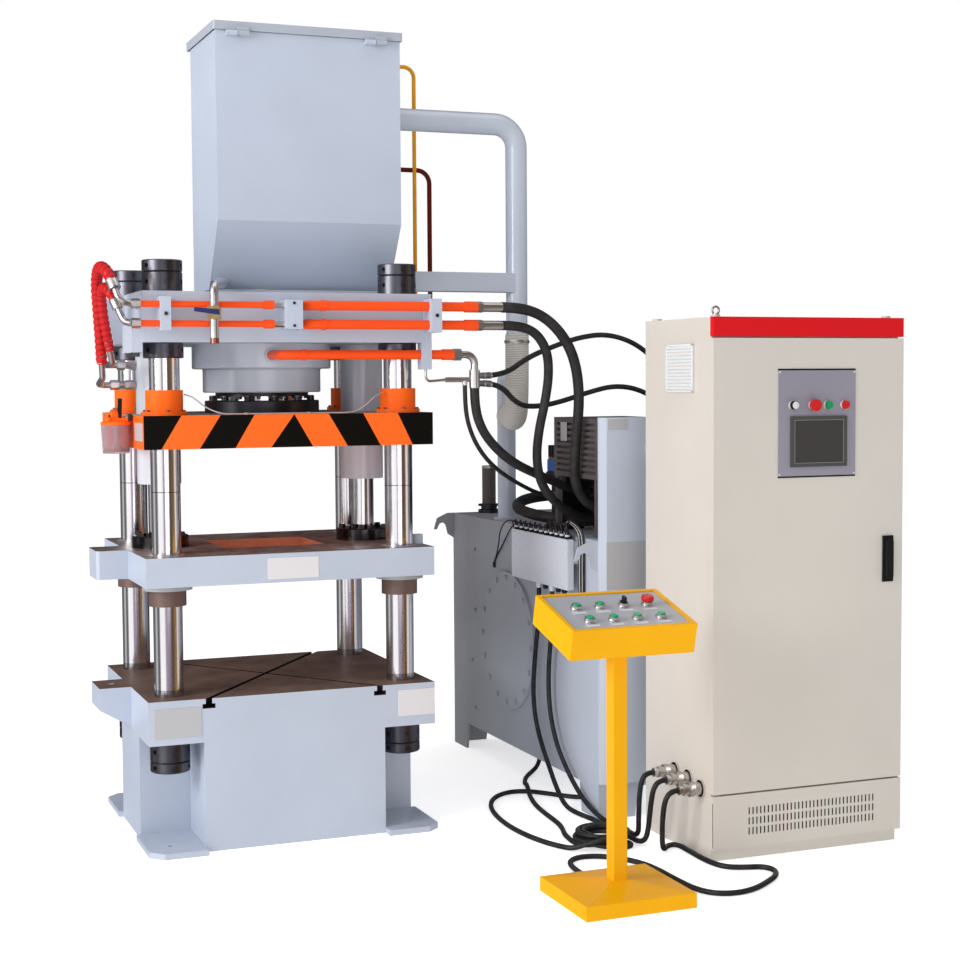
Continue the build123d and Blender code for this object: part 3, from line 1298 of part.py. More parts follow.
# Cabinet: sheet box, open at the front behind the door, with header, vent cover and louver
cab_mid = CAB_LEFT + CAB_X / 2
with BuildPart() as cabinet_body:
    with BuildSketch():
        with Locations((cab_mid, CAB_FRONT + CAB_Y / 2)):
            Rectangle(CAB_X, CAB_Y)
    extrude(amount=CAB_H)
    with BuildSketch(Plane.XZ.offset(-CAB_FRONT)):
        with Locations((cab_mid, (DOOR_LOW + HEADER_LOW) / 2)):
            Rectangle(CAB_X - 60, HEADER_LOW - DOOR_LOW - 40)
    extrude(amount=-CAB_Y + CAB_WALL, mode=Mode.SUBTRACT)
    with BuildSketch(Plane.XZ.offset(-CAB_FRONT - 20)):
        with Locations((cab_mid, (DOOR_LOW + HEADER_LOW) / 2)):
            Rectangle(CAB_X - 2 * CAB_WALL, HEADER_LOW - DOOR_LOW + 60)
    extrude(amount=-CAB_Y + CAB_WALL + 20, mode=Mode.SUBTRACT)
    for cover_low, cover_high in ((44, DOOR_LOW - 6), (HEADER_LOW, CAB_H)):
        with BuildSketch(Plane.XZ.offset(-CAB_FRONT)):
            with Locations((cab_mid, (cover_low + cover_high) / 2)):
                Rectangle(CAB_X + 2 * DOOR_OUT, cover_high - cover_low)
        extrude(amount=DOOR_T)
    with BuildSketch(Plane.YZ.offset(CAB_LEFT)):
        with Locations((-977, 1634)):
            Rectangle(190, 162)
    extrude(amount=-6)
    with BuildSketch(Plane.XY.offset(CAB_H)):
        with Locations((cab_mid, CAB_FRONT + CAB_Y / 2)):
            with GridLocations(CAB_X - 60, CAB_Y - 60, 2, 2):
                Circle(16)
    extrude(amount=8)
    with BuildSketch(Plane.XZ.offset(-CAB_FRONT + DOOR_T)):
        for row in range(3):
            for hole in range(34):
                with Locations((1330 + 14.7 * hole, 96 + 34 * row)):
                    Rectangle(5, 24)
    extrude(amount=-3, mode=Mode.SUBTRACT)
cabinet_body.part.label = "cabinet_body"
export_step(cabinet_body.part, "parts/cabinet_body.step")

# Cabinet door: folded tray, hinged at its left edge, with the control plate on it
PLATE_LEFT = 1434
PLATE_RIGHT = 1734
PLATE_LOW = 1274
PLATE_TOP = 1624
PLATE_T = 3
door_front = CAB_FRONT - DOOR_T
CONTROLS = {"key": 1490, "stop": 1567, "green": 1625, "red": 1690}
HANDLE_X = 1866
HANDLE_Z = 983
CONTROL_BORE = 14
with BuildPart() as cabinet_door:
    with BuildSketch(Plane.XZ.offset(-CAB_FRONT + RUNNING)):
        with Locations((cab_mid, (DOOR_LOW + DOOR_TOP) / 2)):
            RectangleRounded(CAB_X + 2 * DOOR_OUT, DOOR_TOP - DOOR_LOW, 3)
    extrude(amount=DOOR_T - RUNNING)
    with BuildSketch(Plane.XZ.offset(-CAB_FRONT + RUNNING)):
        with Locations((cab_mid, (DOOR_LOW + DOOR_TOP) / 2)):
            Rectangle(CAB_X + 2 * DOOR_OUT - 8, DOOR_TOP - DOOR_LOW - 8)
    extrude(amount=DOOR_T - RUNNING - 4, mode=Mode.SUBTRACT)
    with BuildSketch(Plane.XZ.offset(-door_front)):
        with Locations(((PLATE_LEFT + PLATE_RIGHT) / 2, (PLATE_LOW + PLATE_TOP) / 2)):
            Rectangle(PLATE_RIGHT - PLATE_LEFT, PLATE_TOP - PLATE_LOW)
    extrude(amount=PLATE_T)
    with BuildSketch(Plane.XZ.offset(-door_front + PLATE_T)):
        with Locations((1588, 1388)):
            Rectangle(216, 164)
    extrude(amount=6)
    with BuildSketch(Plane.XZ.offset(-door_front + PLATE_T)):
        with Locations(*[(x, CONTROL_Z) for x in CONTROLS.values()]):
            Circle(CONTROL_BORE + 3)
    extrude(amount=5)
    with BuildSketch(Plane.XZ.offset(-door_front + PLATE_T + 5)):
        with Locations(*[(x, CONTROL_Z) for x in CONTROLS.values()]):
            Circle(CONTROL_BORE)
    extrude(amount=-PLATE_T - 10, mode=Mode.SUBTRACT)
    with BuildSketch(Plane.XZ.offset(-door_front)):
        with Locations((HANDLE_X, HANDLE_Z)):
            RectangleRounded(42, 156, 6)
    extrude(amount=6)
    with BuildSketch(Plane.XZ.offset(-door_front + 6)):
        with Locations((HANDLE_X, HANDLE_Z + 54)):
            Circle(8 + RUNNING)
    extrude(amount=-12, mode=Mode.SUBTRACT)
cabinet_door.part.label = "cabinet_door"
export_step(cabinet_door.part, "parts/cabinet_door.step")

# Door handle: lever outside, shaft through the door and cam behind the frame
with BuildPart() as door_handle:
    with BuildSketch(Plane.XZ.offset(-door_front + 6 + RUNNING)):
        with Locations((HANDLE_X, HANDLE_Z)):
            RectangleRounded(26, 136, 10)
    extrude(amount=14)
    with BuildSketch(Plane.XZ.offset(-door_front + 8)):
        with Locations((HANDLE_X, HANDLE_Z + 54)):
            Circle(8)
    extrude(amount=-8 - 12)
    with BuildSketch(Plane.XZ.offset(-door_front - 8)):
        with Locations((HANDLE_X - 2, HANDLE_Z + 42)):
            Rectangle(18, 48)
    extrude(amount=-4)
door_handle.part.label = "door_handle"
export_step(door_handle.part, "parts/door_handle.step")

# Controls on the cabinet door: key switch, mushroom button and two push buttons
def turned_control(x, cap_d, cap_h, reach=6):
    """A round cap on a stem through the control plate, facing the operator."""
    face_y = door_front - PLATE_T - 5
    with BuildPart() as control:
        with BuildSketch(Plane.XZ.offset(-face_y - 10)):
            with Locations((x, CONTROL_Z)):
                Circle(CONTROL_BORE - RUNNING)
        extrude(amount=10 + reach)
        with BuildSketch(Plane.XZ.offset(-face_y + reach)):
            with Locations((x, CONTROL_Z)):
                Circle(cap_d / 2)
        extrude(amount=cap_h)
    return control.part


cabinet_key = turned_control(CONTROLS["key"], 26, 8)
cabinet_stop = turned_control(CONTROLS["stop"], 40, 14)
cabinet_green = turned_control(CONTROLS["green"], 26, 3)
cabinet_red = turned_control(CONTROLS["red"], 26, 3)
cabinet_key.label = "cabinet_key"
cabinet_stop.label = "cabinet_stop"
cabinet_green.label = "cabinet_green"
cabinet_red.label = "cabinet_red"
export_step(cabinet_key, "parts/cabinet_key.step")
export_step(cabinet_stop, "parts/cabinet_stop.step")
export_step(cabinet_green, "parts/cabinet_green.step")
export_step(cabinet_red, "parts/cabinet_red.step")

# Three round cable connectors on the cabinet's left side
CONNECTORS = [(-1122, 233), (-1036, 250), (-942, 256)]
CONNECTOR_REACH = 88
with BuildPart() as cable_connectors:
    for part_d, part_low, part_h in ((56, 0, 8), (44, 8, 24), (48, 32, 18), (38, 50, 22), (30, 72, 16)):
        with BuildSketch(Plane.YZ.offset(CAB_LEFT - part_low)):
            with Locations(*CONNECTORS):
                Circle(part_d / 2)
        extrude(amount=-part_h)
cable_connectors.part.label = "cable_connectors"
export_step(cable_connectors.part, "parts/cable_connectors.step")

# Console stand: base, post and the tilted box, welded into one piece
tilt = math.radians(CONSOLE_TILT)
along = Vector(0, math.cos(tilt), math.sin(tilt))
upward = Vector(0, -math.sin(tilt), math.cos(tilt))
panel_mid = Vector(CONSOLE_X, CONSOLE_FRONT_Y, CONSOLE_FRONT_Z) + along * CONSOLE_DEPTH / 2
panel_plane = Plane(origin=panel_mid, x_dir=(1, 0, 0), z_dir=upward)
with BuildPart() as console_stand:
    with BuildSketch():
        with Locations((CONSOLE_X, POST_Y)):
            Rectangle(STAND_X, STAND_Y)
    extrude(amount=STAND_EDGE)
    with BuildSketch(Plane.XY.offset(STAND_EDGE)):
        with Locations((CONSOLE_X, POST_Y)):
            Rectangle(STAND_X, STAND_Y)
    with BuildSketch(Plane.XY.offset(STAND_EDGE + STAND_RISE)):
        with Locations((CONSOLE_X, POST_Y)):
            Rectangle(POST_W + 4, POST_W + 4)
    loft()
    with BuildSketch(Plane.XY.offset(STAND_EDGE)):
        with Locations((CONSOLE_X, POST_Y)):
            RectangleRounded(POST_W, POST_W, 5)
    extrude(amount=CONSOLE_FRONT_Z - 45 - STAND_EDGE)
    with BuildSketch(panel_plane):
        Rectangle(CONSOLE_W, CONSOLE_DEPTH)
    extrude(amount=-CONSOLE_T)
    with BuildSketch(panel_plane.offset(-CONSOLE_RECESS - 3)):
        Rectangle(CONSOLE_W - 2 * CONSOLE_WALL, CONSOLE_DEPTH - 2 * CONSOLE_WALL)
    extrude(amount=-CONSOLE_T + CONSOLE_RECESS + 3 + CONSOLE_WALL, mode=Mode.SUBTRACT)
    with BuildSketch(panel_plane):
        Rectangle(CONSOLE_W - 2 * CONSOLE_RIM, CONSOLE_DEPTH - 2 * CONSOLE_RIM)
    extrude(amount=-CONSOLE_RECESS - 3, mode=Mode.SUBTRACT)
console_stand.part.label = "console_stand"
export_step(console_stand.part, "parts/console_stand.step")

# Console panel: recessed plate with the bezels of its controls
BUTTON_COLUMNS = [-1.5 * BUTTON_PITCH, -0.5 * BUTTON_PITCH, 0.5 * BUTTON_PITCH, 1.5 * BUTTON_PITCH]
control_spots = [(u, v) for v in (BUTTON_ROW_FRONT, BUTTON_ROW_BACK) for u in BUTTON_COLUMNS]
panel_face = panel_plane.offset(-CONSOLE_RECESS)
with BuildPart() as console_panel:
    with BuildSketch(panel_face.offset(-3)):
        Rectangle(CONSOLE_W - 2 * CONSOLE_RIM - 1, CONSOLE_DEPTH - 2 * CONSOLE_RIM - 1)
    extrude(amount=3)
    with BuildSketch(panel_face.offset(-6)):
        Rectangle(CONSOLE_W - 2 * CONSOLE_WALL - 1, CONSOLE_DEPTH - 2 * CONSOLE_WALL - 1)
    extrude(amount=3)
    with BuildSketch(panel_face):
        with Locations(*control_spots):
            Circle(BEZEL_D / 2)
    extrude(amount=BEZEL_H)
    with BuildSketch(panel_face.offset(BEZEL_H)):
        with Locations(*control_spots):
            Circle(BUTTON_D / 2 + RUNNING)
    extrude(amount=-BEZEL_H - 6, mode=Mode.SUBTRACT)
console_panel.part.label = "console_panel"
export_step(console_panel.part, "parts/console_panel.step")


def panel_control(spot, cap_d, cap_h):
    """A stem in its bezel with a cap above it, square to the tilted panel."""
    with BuildPart() as control:
        with BuildSketch(panel_face.offset(-2)):
            with Locations(spot):
                Circle(BUTTON_D / 2)
        extrude(amount=2 + BEZEL_H + BUTTON_TRAVEL + 1)
        if cap_d > BUTTON_D:
            with BuildSketch(panel_face.offset(BEZEL_H + BUTTON_TRAVEL + 1)):
                with Locations(spot):
                    Circle(cap_d / 2)
            extrude(amount=cap_h)
            fillet(control.edges().filter_by(GeomType.CIRCLE).sort_by(panel_axis)[-1], cap_h / 2.5)
        if cap_d < BUTTON_D:
            with BuildSketch(panel_face.offset(BEZEL_H + BUTTON_TRAVEL)):
                with Locations(spot):
                    RectangleRounded(cap_d, BUTTON_D - 2, 3)
            extrude(amount=cap_h)
    return control.part


panel_axis = Axis(panel_mid, upward)
green_spots = control_spots[:4] + control_spots[4:6]
for number, spot in enumerate(green_spots, 1):
    console_button = panel_control(spot, BUTTON_D, 0)
    console_button.label = f"console_button_{number}"
    export_step(console_button, f"parts/console_button_{number}.step")
console_selector = panel_control(control_spots[6], 9, 16)
console_selector.label = "console_selector"
export_step(console_selector, "parts/console_selector.step")
console_stop = panel_control(control_spots[7], 40, 15)
console_stop.label = "console_stop"
export_step(console_stop, "parts/console_stop.step")

# Steel unions, elbows, ferrules and the thin line at the ends of the front pipes
FERRULE_D = 34
FERRULE_L = 75
HEX_L = 20
HOSE_X = RIGHT_PIPE_X + HEX_L + FERRULE_L
TEE_X = 677
TEE_LOW = 1571
BRANCH_D = 16
BRANCH_START = (640, -400, TEE_LOW + 10)
LONG_START_A = (718, -378, TEE_LOW + 44)
LONG_START_B = (718, -378, TEE_LOW + 16)
RED_ROUTE = [
    (-603, -462, 1903),
    (-614, -442, 1944),
    (-625, -400, 1974),
    (-631, -340, 1984),
    (-631, -282, 1964),
    (-627, -240, 1918),
    (-620, -214, 1866),
    (-612, -186, 1800),
    (-604, -159, 1734),
    (-596, -126, 1668),
]
RED_THIN_ROUTE = [
    (-588, -430, 1840),
    (-604, -416, 1882),
    (-616, -382, 1910),
    (-621, -336, 1917),
    (-620, -292, 1896),
    (-613, -262, 1858),
    (-605, -240, 1815),
    (-592, -216, 1764),
    (-578, -186, 1712),
]
STEEL_PIPE_D = 22
LOW_PORT_Z = 1590
HIGH_PORT_Z = 1660
barrel_side = -LIFT_X - BARREL_D / 2
fitting_solids = []
for pipe_z in (UPPER_PIPE_Z, LOWER_PIPE_Z):
    union_start = (BLOCK_LEFT - UNION_L, PIPE_Y, pipe_z)
    fitting_solids.append(bar(union_start, (BLOCK_LEFT, PIPE_Y, pipe_z), SMALL_PIPE_D, 6))
    hex_start = (RIGHT_PIPE_X, PIPE_Y, pipe_z)
    ferrule_start = (RIGHT_PIPE_X + HEX_L, PIPE_Y, pipe_z)
    fitting_solids.append(bar(hex_start, ferrule_start, LARGE_PIPE_D + 6, 6))
    fitting_solids.append(bar(ferrule_start, (HOSE_X, PIPE_Y, pipe_z), FERRULE_D))
for pipe_z, route, port_z in (
    (UPPER_PIPE_Z, RED_ROUTE, LOW_PORT_Z),
    (LOWER_PIPE_Z, RED_THIN_ROUTE, HIGH_PORT_Z),
):
    nut_end = (LEFT_PIPE_X - 28, PIPE_Y, pipe_z)
    first = Vector(*route[0])
    first_run = (Vector(*route[1]) - first).normalized()
    last = Vector(*route[-1])
    last_run = (last - Vector(*route[-2])).normalized()
    fitting_solids.append(bar((LEFT_PIPE_X, PIPE_Y, pipe_z), nut_end, SMALL_PIPE_D + 12, 6))
    fitting_solids.append(
        tube([nut_end, tuple(first - first_run * 48), tuple(first)], STEEL_PIPE_D, bend=32)
    )
    turn_point = last + last_run * 60
    port = Vector(turn_point.X + 42, 0, port_z)
    fitting_solids.append(
        tube([tuple(last), tuple(turn_point), (turn_point.X, 0, port_z), tuple(port)], STEEL_PIPE_D, bend=24)
    )
    with BuildPart() as port_fitting:
        add(bar(tuple(port), (port.X + 28, 0, port_z), 36, 6))
        add(bar((port.X + 28, 0, port_z), (port.X + 50, 0, port_z), 26))
        add(bar((port.X + 50, 0, port_z), (barrel_side, 0, port_z), 34, 6))
    fitting_solids.append(port_fitting.part)
fitting_solids.append(bar((RETURN_PIPE_X, RETURN_PIPE_Y, RETURN_PIPE_Z), (RETURN_PIPE_X + 30, RETURN_PIPE_Y, RETURN_PIPE_Z), 42, 6))
fitting_solids.append(
    tube(
        [
            (RETURN_PIPE_X + 30, RETURN_PIPE_Y, RETURN_PIPE_Z),
            (TEE_X, RETURN_PIPE_Y, RETURN_PIPE_Z),
            (TEE_X, RETURN_PIPE_Y, TEE_LOW + 64),
        ],
        26,
        bend=34,
    )
)
fitting_solids.append(bar((TEE_X, RETURN_PIPE_Y, TEE_LOW + 64), (TEE_X, RETURN_PIPE_Y, TEE_LOW), 38))
with BuildPart() as thin_stub:
    add(bar((TEE_X - 19, RETURN_PIPE_Y, TEE_LOW + 30), (TEE_X - 110, RETURN_PIPE_Y, TEE_LOW + 30), 18))
    add(bar((BRANCH_START[0], BRANCH_START[1], TEE_LOW + 30), BRANCH_START, 18))
fitting_solids.append(thin_stub.part)
fitting_solids.append(
    tube(
        [
            (TEE_X - 110, RETURN_PIPE_Y, TEE_LOW + 30),
            (CROWN_X / 2 - 16, RETURN_PIPE_Y, TEE_LOW + 24),
            (CROWN_X / 2 - 16, RETURN_PIPE_Y, CROWN_LOW - 94),
        ],
        9,
        bend=18,
    )
)
for long_start in (LONG_START_A, LONG_START_B):
    socket_end = (TEE_X, RETURN_PIPE_Y, long_start[2])
    fitting_solids.append(bar(long_start, socket_end, 22))
pipe_fittings = Compound(children=[piece.solid() for piece in fitting_solids])
pipe_fittings.label = "pipe_fittings"
export_step(pipe_fittings, "parts/pipe_fittings.step")

# Hydraulic hoses from the crown's right end to the manifold on the oil tank
HOSE_D = 38
MID_HOSE_D = 34
THIN_HOSE_D = 20
LOOP_HOSE_D = 44
hose_a = cord(
    "hose_a",
    [
        (HOSE_X, PIPE_Y, UPPER_PIPE_Z),
        (830, -470, 1856),
        (925, -460, 1826),
        (1005, -450, 1756),
        (1060, -430, 1665),
        (1085, -410, 1545),
        (1089, -382, 1425),
        (1091, -352, 1320),
        (1102, -325, 1222),
        (1150, -300, 1145),
        (1230, -290, 1110),
        (MANIFOLD_LEFT, -290, 1110),
    ],
    HOSE_D,
)
hose_b = cord(
    "hose_b",
    [
        (HOSE_X, PIPE_Y, LOWER_PIPE_Z),
        (824, PIPE_Y, LOWER_PIPE_Z),
        (894, -460, 1766),
        (944, -440, 1702),
        (960, -418, 1616),
        (955, -392, 1515),
        (942, -362, 1410),
        (946, -330, 1305),
        (982, -292, 1208),
        (1060, -252, 1134),
        (1152, -208, 1086),
        (1242, -180, 1066),
        (MANIFOLD_LEFT, -180, 1066),
    ],
    MID_HOSE_D,
)
hose_c = cord(
    "hose_c",
    [
        (TEE_X, RETURN_PIPE_Y, TEE_LOW),
        (TEE_X, RETURN_PIPE_Y, 1498),
        (710, -390, 1415),
        (780, -360, 1345),
        (870, -315, 1290),
        (975, -255, 1250),
        (1072, -197, 1216),
        (1160, -150, 1184),
        (1244, -110, 1165),
        (MANIFOLD_LEFT, -110, 1165),
    ],
    MID_HOSE_D,
)
hose_loop = cord(
    "hose_loop",
    [
        (MANIFOLD_LEFT, -102, 1056),
        (1252, -102, 1056),
        (1204, -96, 1057),
        (1163, -74, 1060),
        (1120, -38, 1065),
        (1080, 18, 1075),
        (1062, 90, 1086),
        (1074, 162, 1096),
        (1112, 234, 1106),
        (1168, 290, 1114),
        (1234, 328, 1120),
        (1306, 344, 1123),
        (1382, STUB_Y, STUB_Z),
        tuple(LOOP_END),
    ],
    LOOP_HOSE_D,
)
hose_branch = cord(
    "hose_branch",
    [
        BRANCH_START,
        (BRANCH_START[0], BRANCH_START[1], 1520),
        (654, -386, 1452),
        (690, -356, 1384),
        (746, -312, 1322),
        (820, -252, 1270),
        (904, -184, 1228),
        (992, -108, 1192),
        (1070, -40, 1164),
        (TOWER_X - 45 - 50, TOWER_Y - 15, 1150),
        (TOWER_X - 45, TOWER_Y - 15, 1150),
    ],
    BRANCH_D,
)
pressure_hoses = Compound(children=[piece.solid() for piece in (hose_a, hose_b, hose_c, hose_loop, hose_branch)])
pressure_hoses.label = "pressure_hoses"
export_step(pressure_hoses, "parts/pressure_hoses.step")

# Two long hoses from the tee to the pump, behind the cabinet
hose_long_a = cord(
    "hose_long_a",
    [
        LONG_START_A,
        (820.5, -323, LONG_START_A[2]),
        (940, -260, 1680),
        (1090, -165, 1725),
        (1240, -75, 1762),
        (1390, 5, 1778),
        (1530, 60, 1752),
        (1630, 70, 1690),
        (1690, 40, 1600),
        (1705, -20, 1505),
        (1690, -80, 1410),
        (MOTOR_X, PUMP_PORTS[0], port_top + 50),
        (MOTOR_X, PUMP_PORTS[0], port_top),
    ],
    THIN_HOSE_D,
)
hose_long_b = cord(
    "hose_long_b",
    [
        LONG_START_B,
        (800, -334, LONG_START_B[2]),
        (890, -290, 1505),
        (1010, -205, 1498),
        (1140, -125, 1515),
        (1280, -60, 1548),
        (1420, -10, 1575),
        (1540, 10, 1560),
        (1620, -35, 1505),
        (1655, -95, 1430),
        (MOTOR_X, PUMP_PORTS[1], port_top + 60),
        (MOTOR_X, PUMP_PORTS[1], port_top),
    ],
    THIN_HOSE_D,
)
long_hoses = Compound(children=[hose_long_a.solid(), hose_long_b.solid()])
long_hoses.label = "long_hoses"
export_step(long_hoses, "parts/long_hoses.step")

# Red guarded hoses from the front pipes round to the left lift cylinder
RED_HOSE_D = 40
lift_hose_a = cord("lift_hose_a", RED_ROUTE, RED_HOSE_D)
lift_hose_b = cord("lift_hose_b", RED_THIN_ROUTE, RED_HOSE_D - 6)
lift_hoses = Compound(children=[lift_hose_a.solid(), lift_hose_b.solid()])
lift_hoses.label = "lift_hoses"
export_step(lift_hoses, "parts/lift_hoses.step")

# Clear wire-wound hose from the overhead pipe to the riser's spigot
flex_hose = cord(
    "flex_hose",
    [
        (OVER_X, 0, OVER_LOW),
        (OVER_X, 0, 1692),
        (1013, 9, 1606),
        (1027, 46, 1526),
        (1052, 112, 1471),
        (1079, 195, 1445),
        (1104, 275, 1443),
        tuple(SPIGOT_END * 2.7 - Vector(RISER_X, RISER_Y, SPIGOT_Z) * 1.7),
        tuple(SPIGOT_END),
    ],
    92,
)
flex_hose.label = "flex_hose"
export_step(flex_hose, "parts/flex_hose.step")

# Cables: two from the terminal box and one from the console to the cabinet's connectors
connector_x = CAB_LEFT - CONNECTOR_REACH
console_cable = cord(
    "console_cable",
    [
        (connector_x, *CONNECTORS[0]),
        (1085, -1122, 233),
        (1063, -1120, 205),
        (1058, -1114, 145),
        (1066, -1095, 80),
        (1085, -1062, 32),
        (1112, -1022, 10),
        (1142, -985, 9),
        (1174, -975, 9),
        (1184, -1005, 9),
        (1182, -1065, 9),
        (1178, -1140, 9),
        (1180, -1220, 9),
        (1200, -1285, 9),
        (1255, -1312, 9),
        (1312, -1325, 9),
        (1332, -1372, 9),
        (1302, -1430, 9),
        (1240, -1480, 9),
        (1165, -1530, 9),
        (1090, -1548, 9),
        (1025, -1525, 9),
        (993, -1465, 9),
        (986, -1390, 9),
        (983, -1310, 9),
        (982, -1230, 9),
        (972, -1150, 9),
        (937, -1070, 9),
        (880, -1010, 9),
        (812, -990, 9),
        (757, -1025, 9),
        (738, -1090, 9),
        (CONSOLE_X, -1175, 9),
        (CONSOLE_X, POST_Y + STAND_Y / 2, 9),
    ],
    CABLE_D,
)
box_cable_a = cord(
    "box_cable_a",
    [
        (connector_x, *CONNECTORS[1]),
        (1085, -1036, 250),
        (1064, -1034, 224),
        (1058, -1026, 160),
        (1062, -1005, 90),
        (1072, -965, 34),
        (1078, -905, 9),
        (1077, -840, 9),
        (1073, -770, 9),
        (1067, -695, 9),
        (1064, -620, 9),
        (1058, -540, 9),
        (1045, -460, 9),
        (1036, -380, 16),
        (1042, -290, 60),
        (1054, -190, 125),
        (1058, -100, 205),
        (1058, -45, 295),
        (1058, -30, 390),
        (1058, -42, 490),
        (1057, -66, 590),
        (gland_x, GLAND_SPOTS[1], 690),
        (gland_x, GLAND_SPOTS[1], BOX_LOW - 20),
    ],
    CABLE_D,
)
box_cable_b = cord(
    "box_cable_b",
    [
        (connector_x, *CONNECTORS[2]),
        (1085, -942, 256),
        (1067, -940, 230),
        (1062, -934, 168),
        (1070, -914, 92),
        (1088, -878, 36),
        (1102, -825, 10),
        (1106, -755, 9),
        (1100, -680, 9),
        (1086, -605, 12),
        (1070, -520, 40),
        (1062, -430, 86),
        (1060, -335, 148),
        (1059, -250, 222),
        (1058, -198, 315),
        (1058, -178, 415),
        (1057, -184, 515),
        (1056, -206, 610),
        (gland_x, GLAND_SPOTS[0], 700),
        (gland_x, GLAND_SPOTS[0], BOX_LOW - 20),
    ],
    CABLE_D,
)

# A longer cable from under the tank, coiled beside the cabinet and led back in a wide loop
COIL_X = 960
COIL_Y = -850
COIL_R = 80
COIL_ROWS = 3
COIL_IN = (874, -765, 9)
COIL_BACK = (876, -918, 9)
coil_out = cord(
    "coil_out",
    [
        (1212, 256, OIL_TANK_LOW),
        (1212, 256, 62),
        (1190, 238, 22),
        (1142, 198, 9),
        (1097, 138, 9),
        (1062, 70, 9),
        (1037, 5, 16),
        (1018, -48, 31),
        (1002, -102, 31),
        (985, -160, 14),
        (968, -230, 9),
        (950, -310, 9),
        (938, -400, 9),
        (930, -490, 9),
        (922, -575, 9),
        (904, -650, 9),
        (882, -712, 9),
        COIL_IN,
    ],
    CABLE_D,
)
coil_back = cord(
    "coil_back",
    [
        COIL_BACK,
        (830, -893, 9),
        (797, -835, 9),
        (770, -755, 9),
        (752, -655, 9),
        (745, -550, 9),
        (750, -445, 9),
        (764, -345, 9),
        (790, -245, 9),
        (832, -155, 9),
        (892, -88, 9),
        (957, -63, 9),
        (1018, -87, 9),
        (1064, -143, 9),
        (1108, -203, 9),
        (1156, -254, 9),
        (1202, -291, 20),
        (1222, -308, 60),
        (1222, -308, OIL_TANK_LOW),
    ],
    CABLE_D,
)
cables = Compound(
    children=[piece.solid() for piece in (console_cable, box_cable_a, box_cable_b, coil_out, coil_back)]
)
cables.label = "cables"
export_step(cables, "parts/cables.step")

# The coil itself, as one closed ring
with BuildPart() as cable_coil:
    with BuildSketch():
        with Locations((COIL_X, COIL_Y)):
            Circle(COIL_R + CABLE_D)
            Circle(COIL_R - CABLE_D, mode=Mode.SUBTRACT)
    extrude(amount=COIL_ROWS * CABLE_D - 6)
    fillet(cable_coil.edges(), CABLE_D / 2 - 1)
    add(bar(COIL_IN, (866, -818, 9), CABLE_D))
    add(bar(COIL_BACK, (922, -943, 9), CABLE_D))
cable_coil.part.label = "cable_coil"
export_step(cable_coil.part, "parts/cable_coil.step")
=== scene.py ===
import math

import bmesh
import bpy
from mathutils import Matrix, Vector


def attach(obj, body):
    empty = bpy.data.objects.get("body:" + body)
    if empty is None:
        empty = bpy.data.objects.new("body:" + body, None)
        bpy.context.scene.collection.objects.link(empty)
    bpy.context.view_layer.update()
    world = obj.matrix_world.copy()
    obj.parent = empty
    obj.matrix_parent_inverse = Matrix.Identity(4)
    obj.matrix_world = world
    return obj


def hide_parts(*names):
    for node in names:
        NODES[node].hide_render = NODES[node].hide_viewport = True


# Hydraulic press with power unit, cabinet and console. Metres, in the CAD's own frame.
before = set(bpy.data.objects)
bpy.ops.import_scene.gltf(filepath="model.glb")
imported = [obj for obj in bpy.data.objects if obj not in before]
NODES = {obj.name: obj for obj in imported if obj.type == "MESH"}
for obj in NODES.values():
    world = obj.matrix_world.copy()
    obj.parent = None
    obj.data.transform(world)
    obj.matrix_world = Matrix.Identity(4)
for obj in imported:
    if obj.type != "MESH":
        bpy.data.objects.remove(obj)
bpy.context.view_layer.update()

# Camera, solved from the edges of press, cabinet and console
CAMERA_AT = Vector((-1.55274, -6.11106, 1.59672))
CAMERA_YAW = 0.375034
CAMERA_PITCH = -0.0579064
CAMERA_ROLL = -0.00654828
CAMERA_LENS = 64.196

# Sizes that the pieces share with the CAD
SLIDER_LOW = 1.374
SLIDER_TOP = 1.487
FRONT = -0.42
COLUMNS = [(x, y) for y in (-0.307, 0.307) for x in (-0.418, 0.418)]
TABLE_TOP = 0.527
PLATEN_TOP = 1.011
OIL_LEFT = 1.09
OIL_TOP = 1.018
CAB_LEFT = 1.1995
CAB_FRONT = -1.187
DOOR_FRONT = -1.211
SCREEN_MIDDLE = (1.588, 1.388)
CONTROL_Z = 1.509
KEY_X = 1.49
CONNECTORS = [(-1.122, 0.233), (-1.036, 0.25), (-0.942, 0.256)]
# How deep a colour reaches below the face that it covers
SKIN = 0.0006
X_AXIS = Vector((1, 0, 0))
Y_AXIS = Vector((0, 1, 0))
Z_AXIS = Vector((0, 0, 1))


# Materials


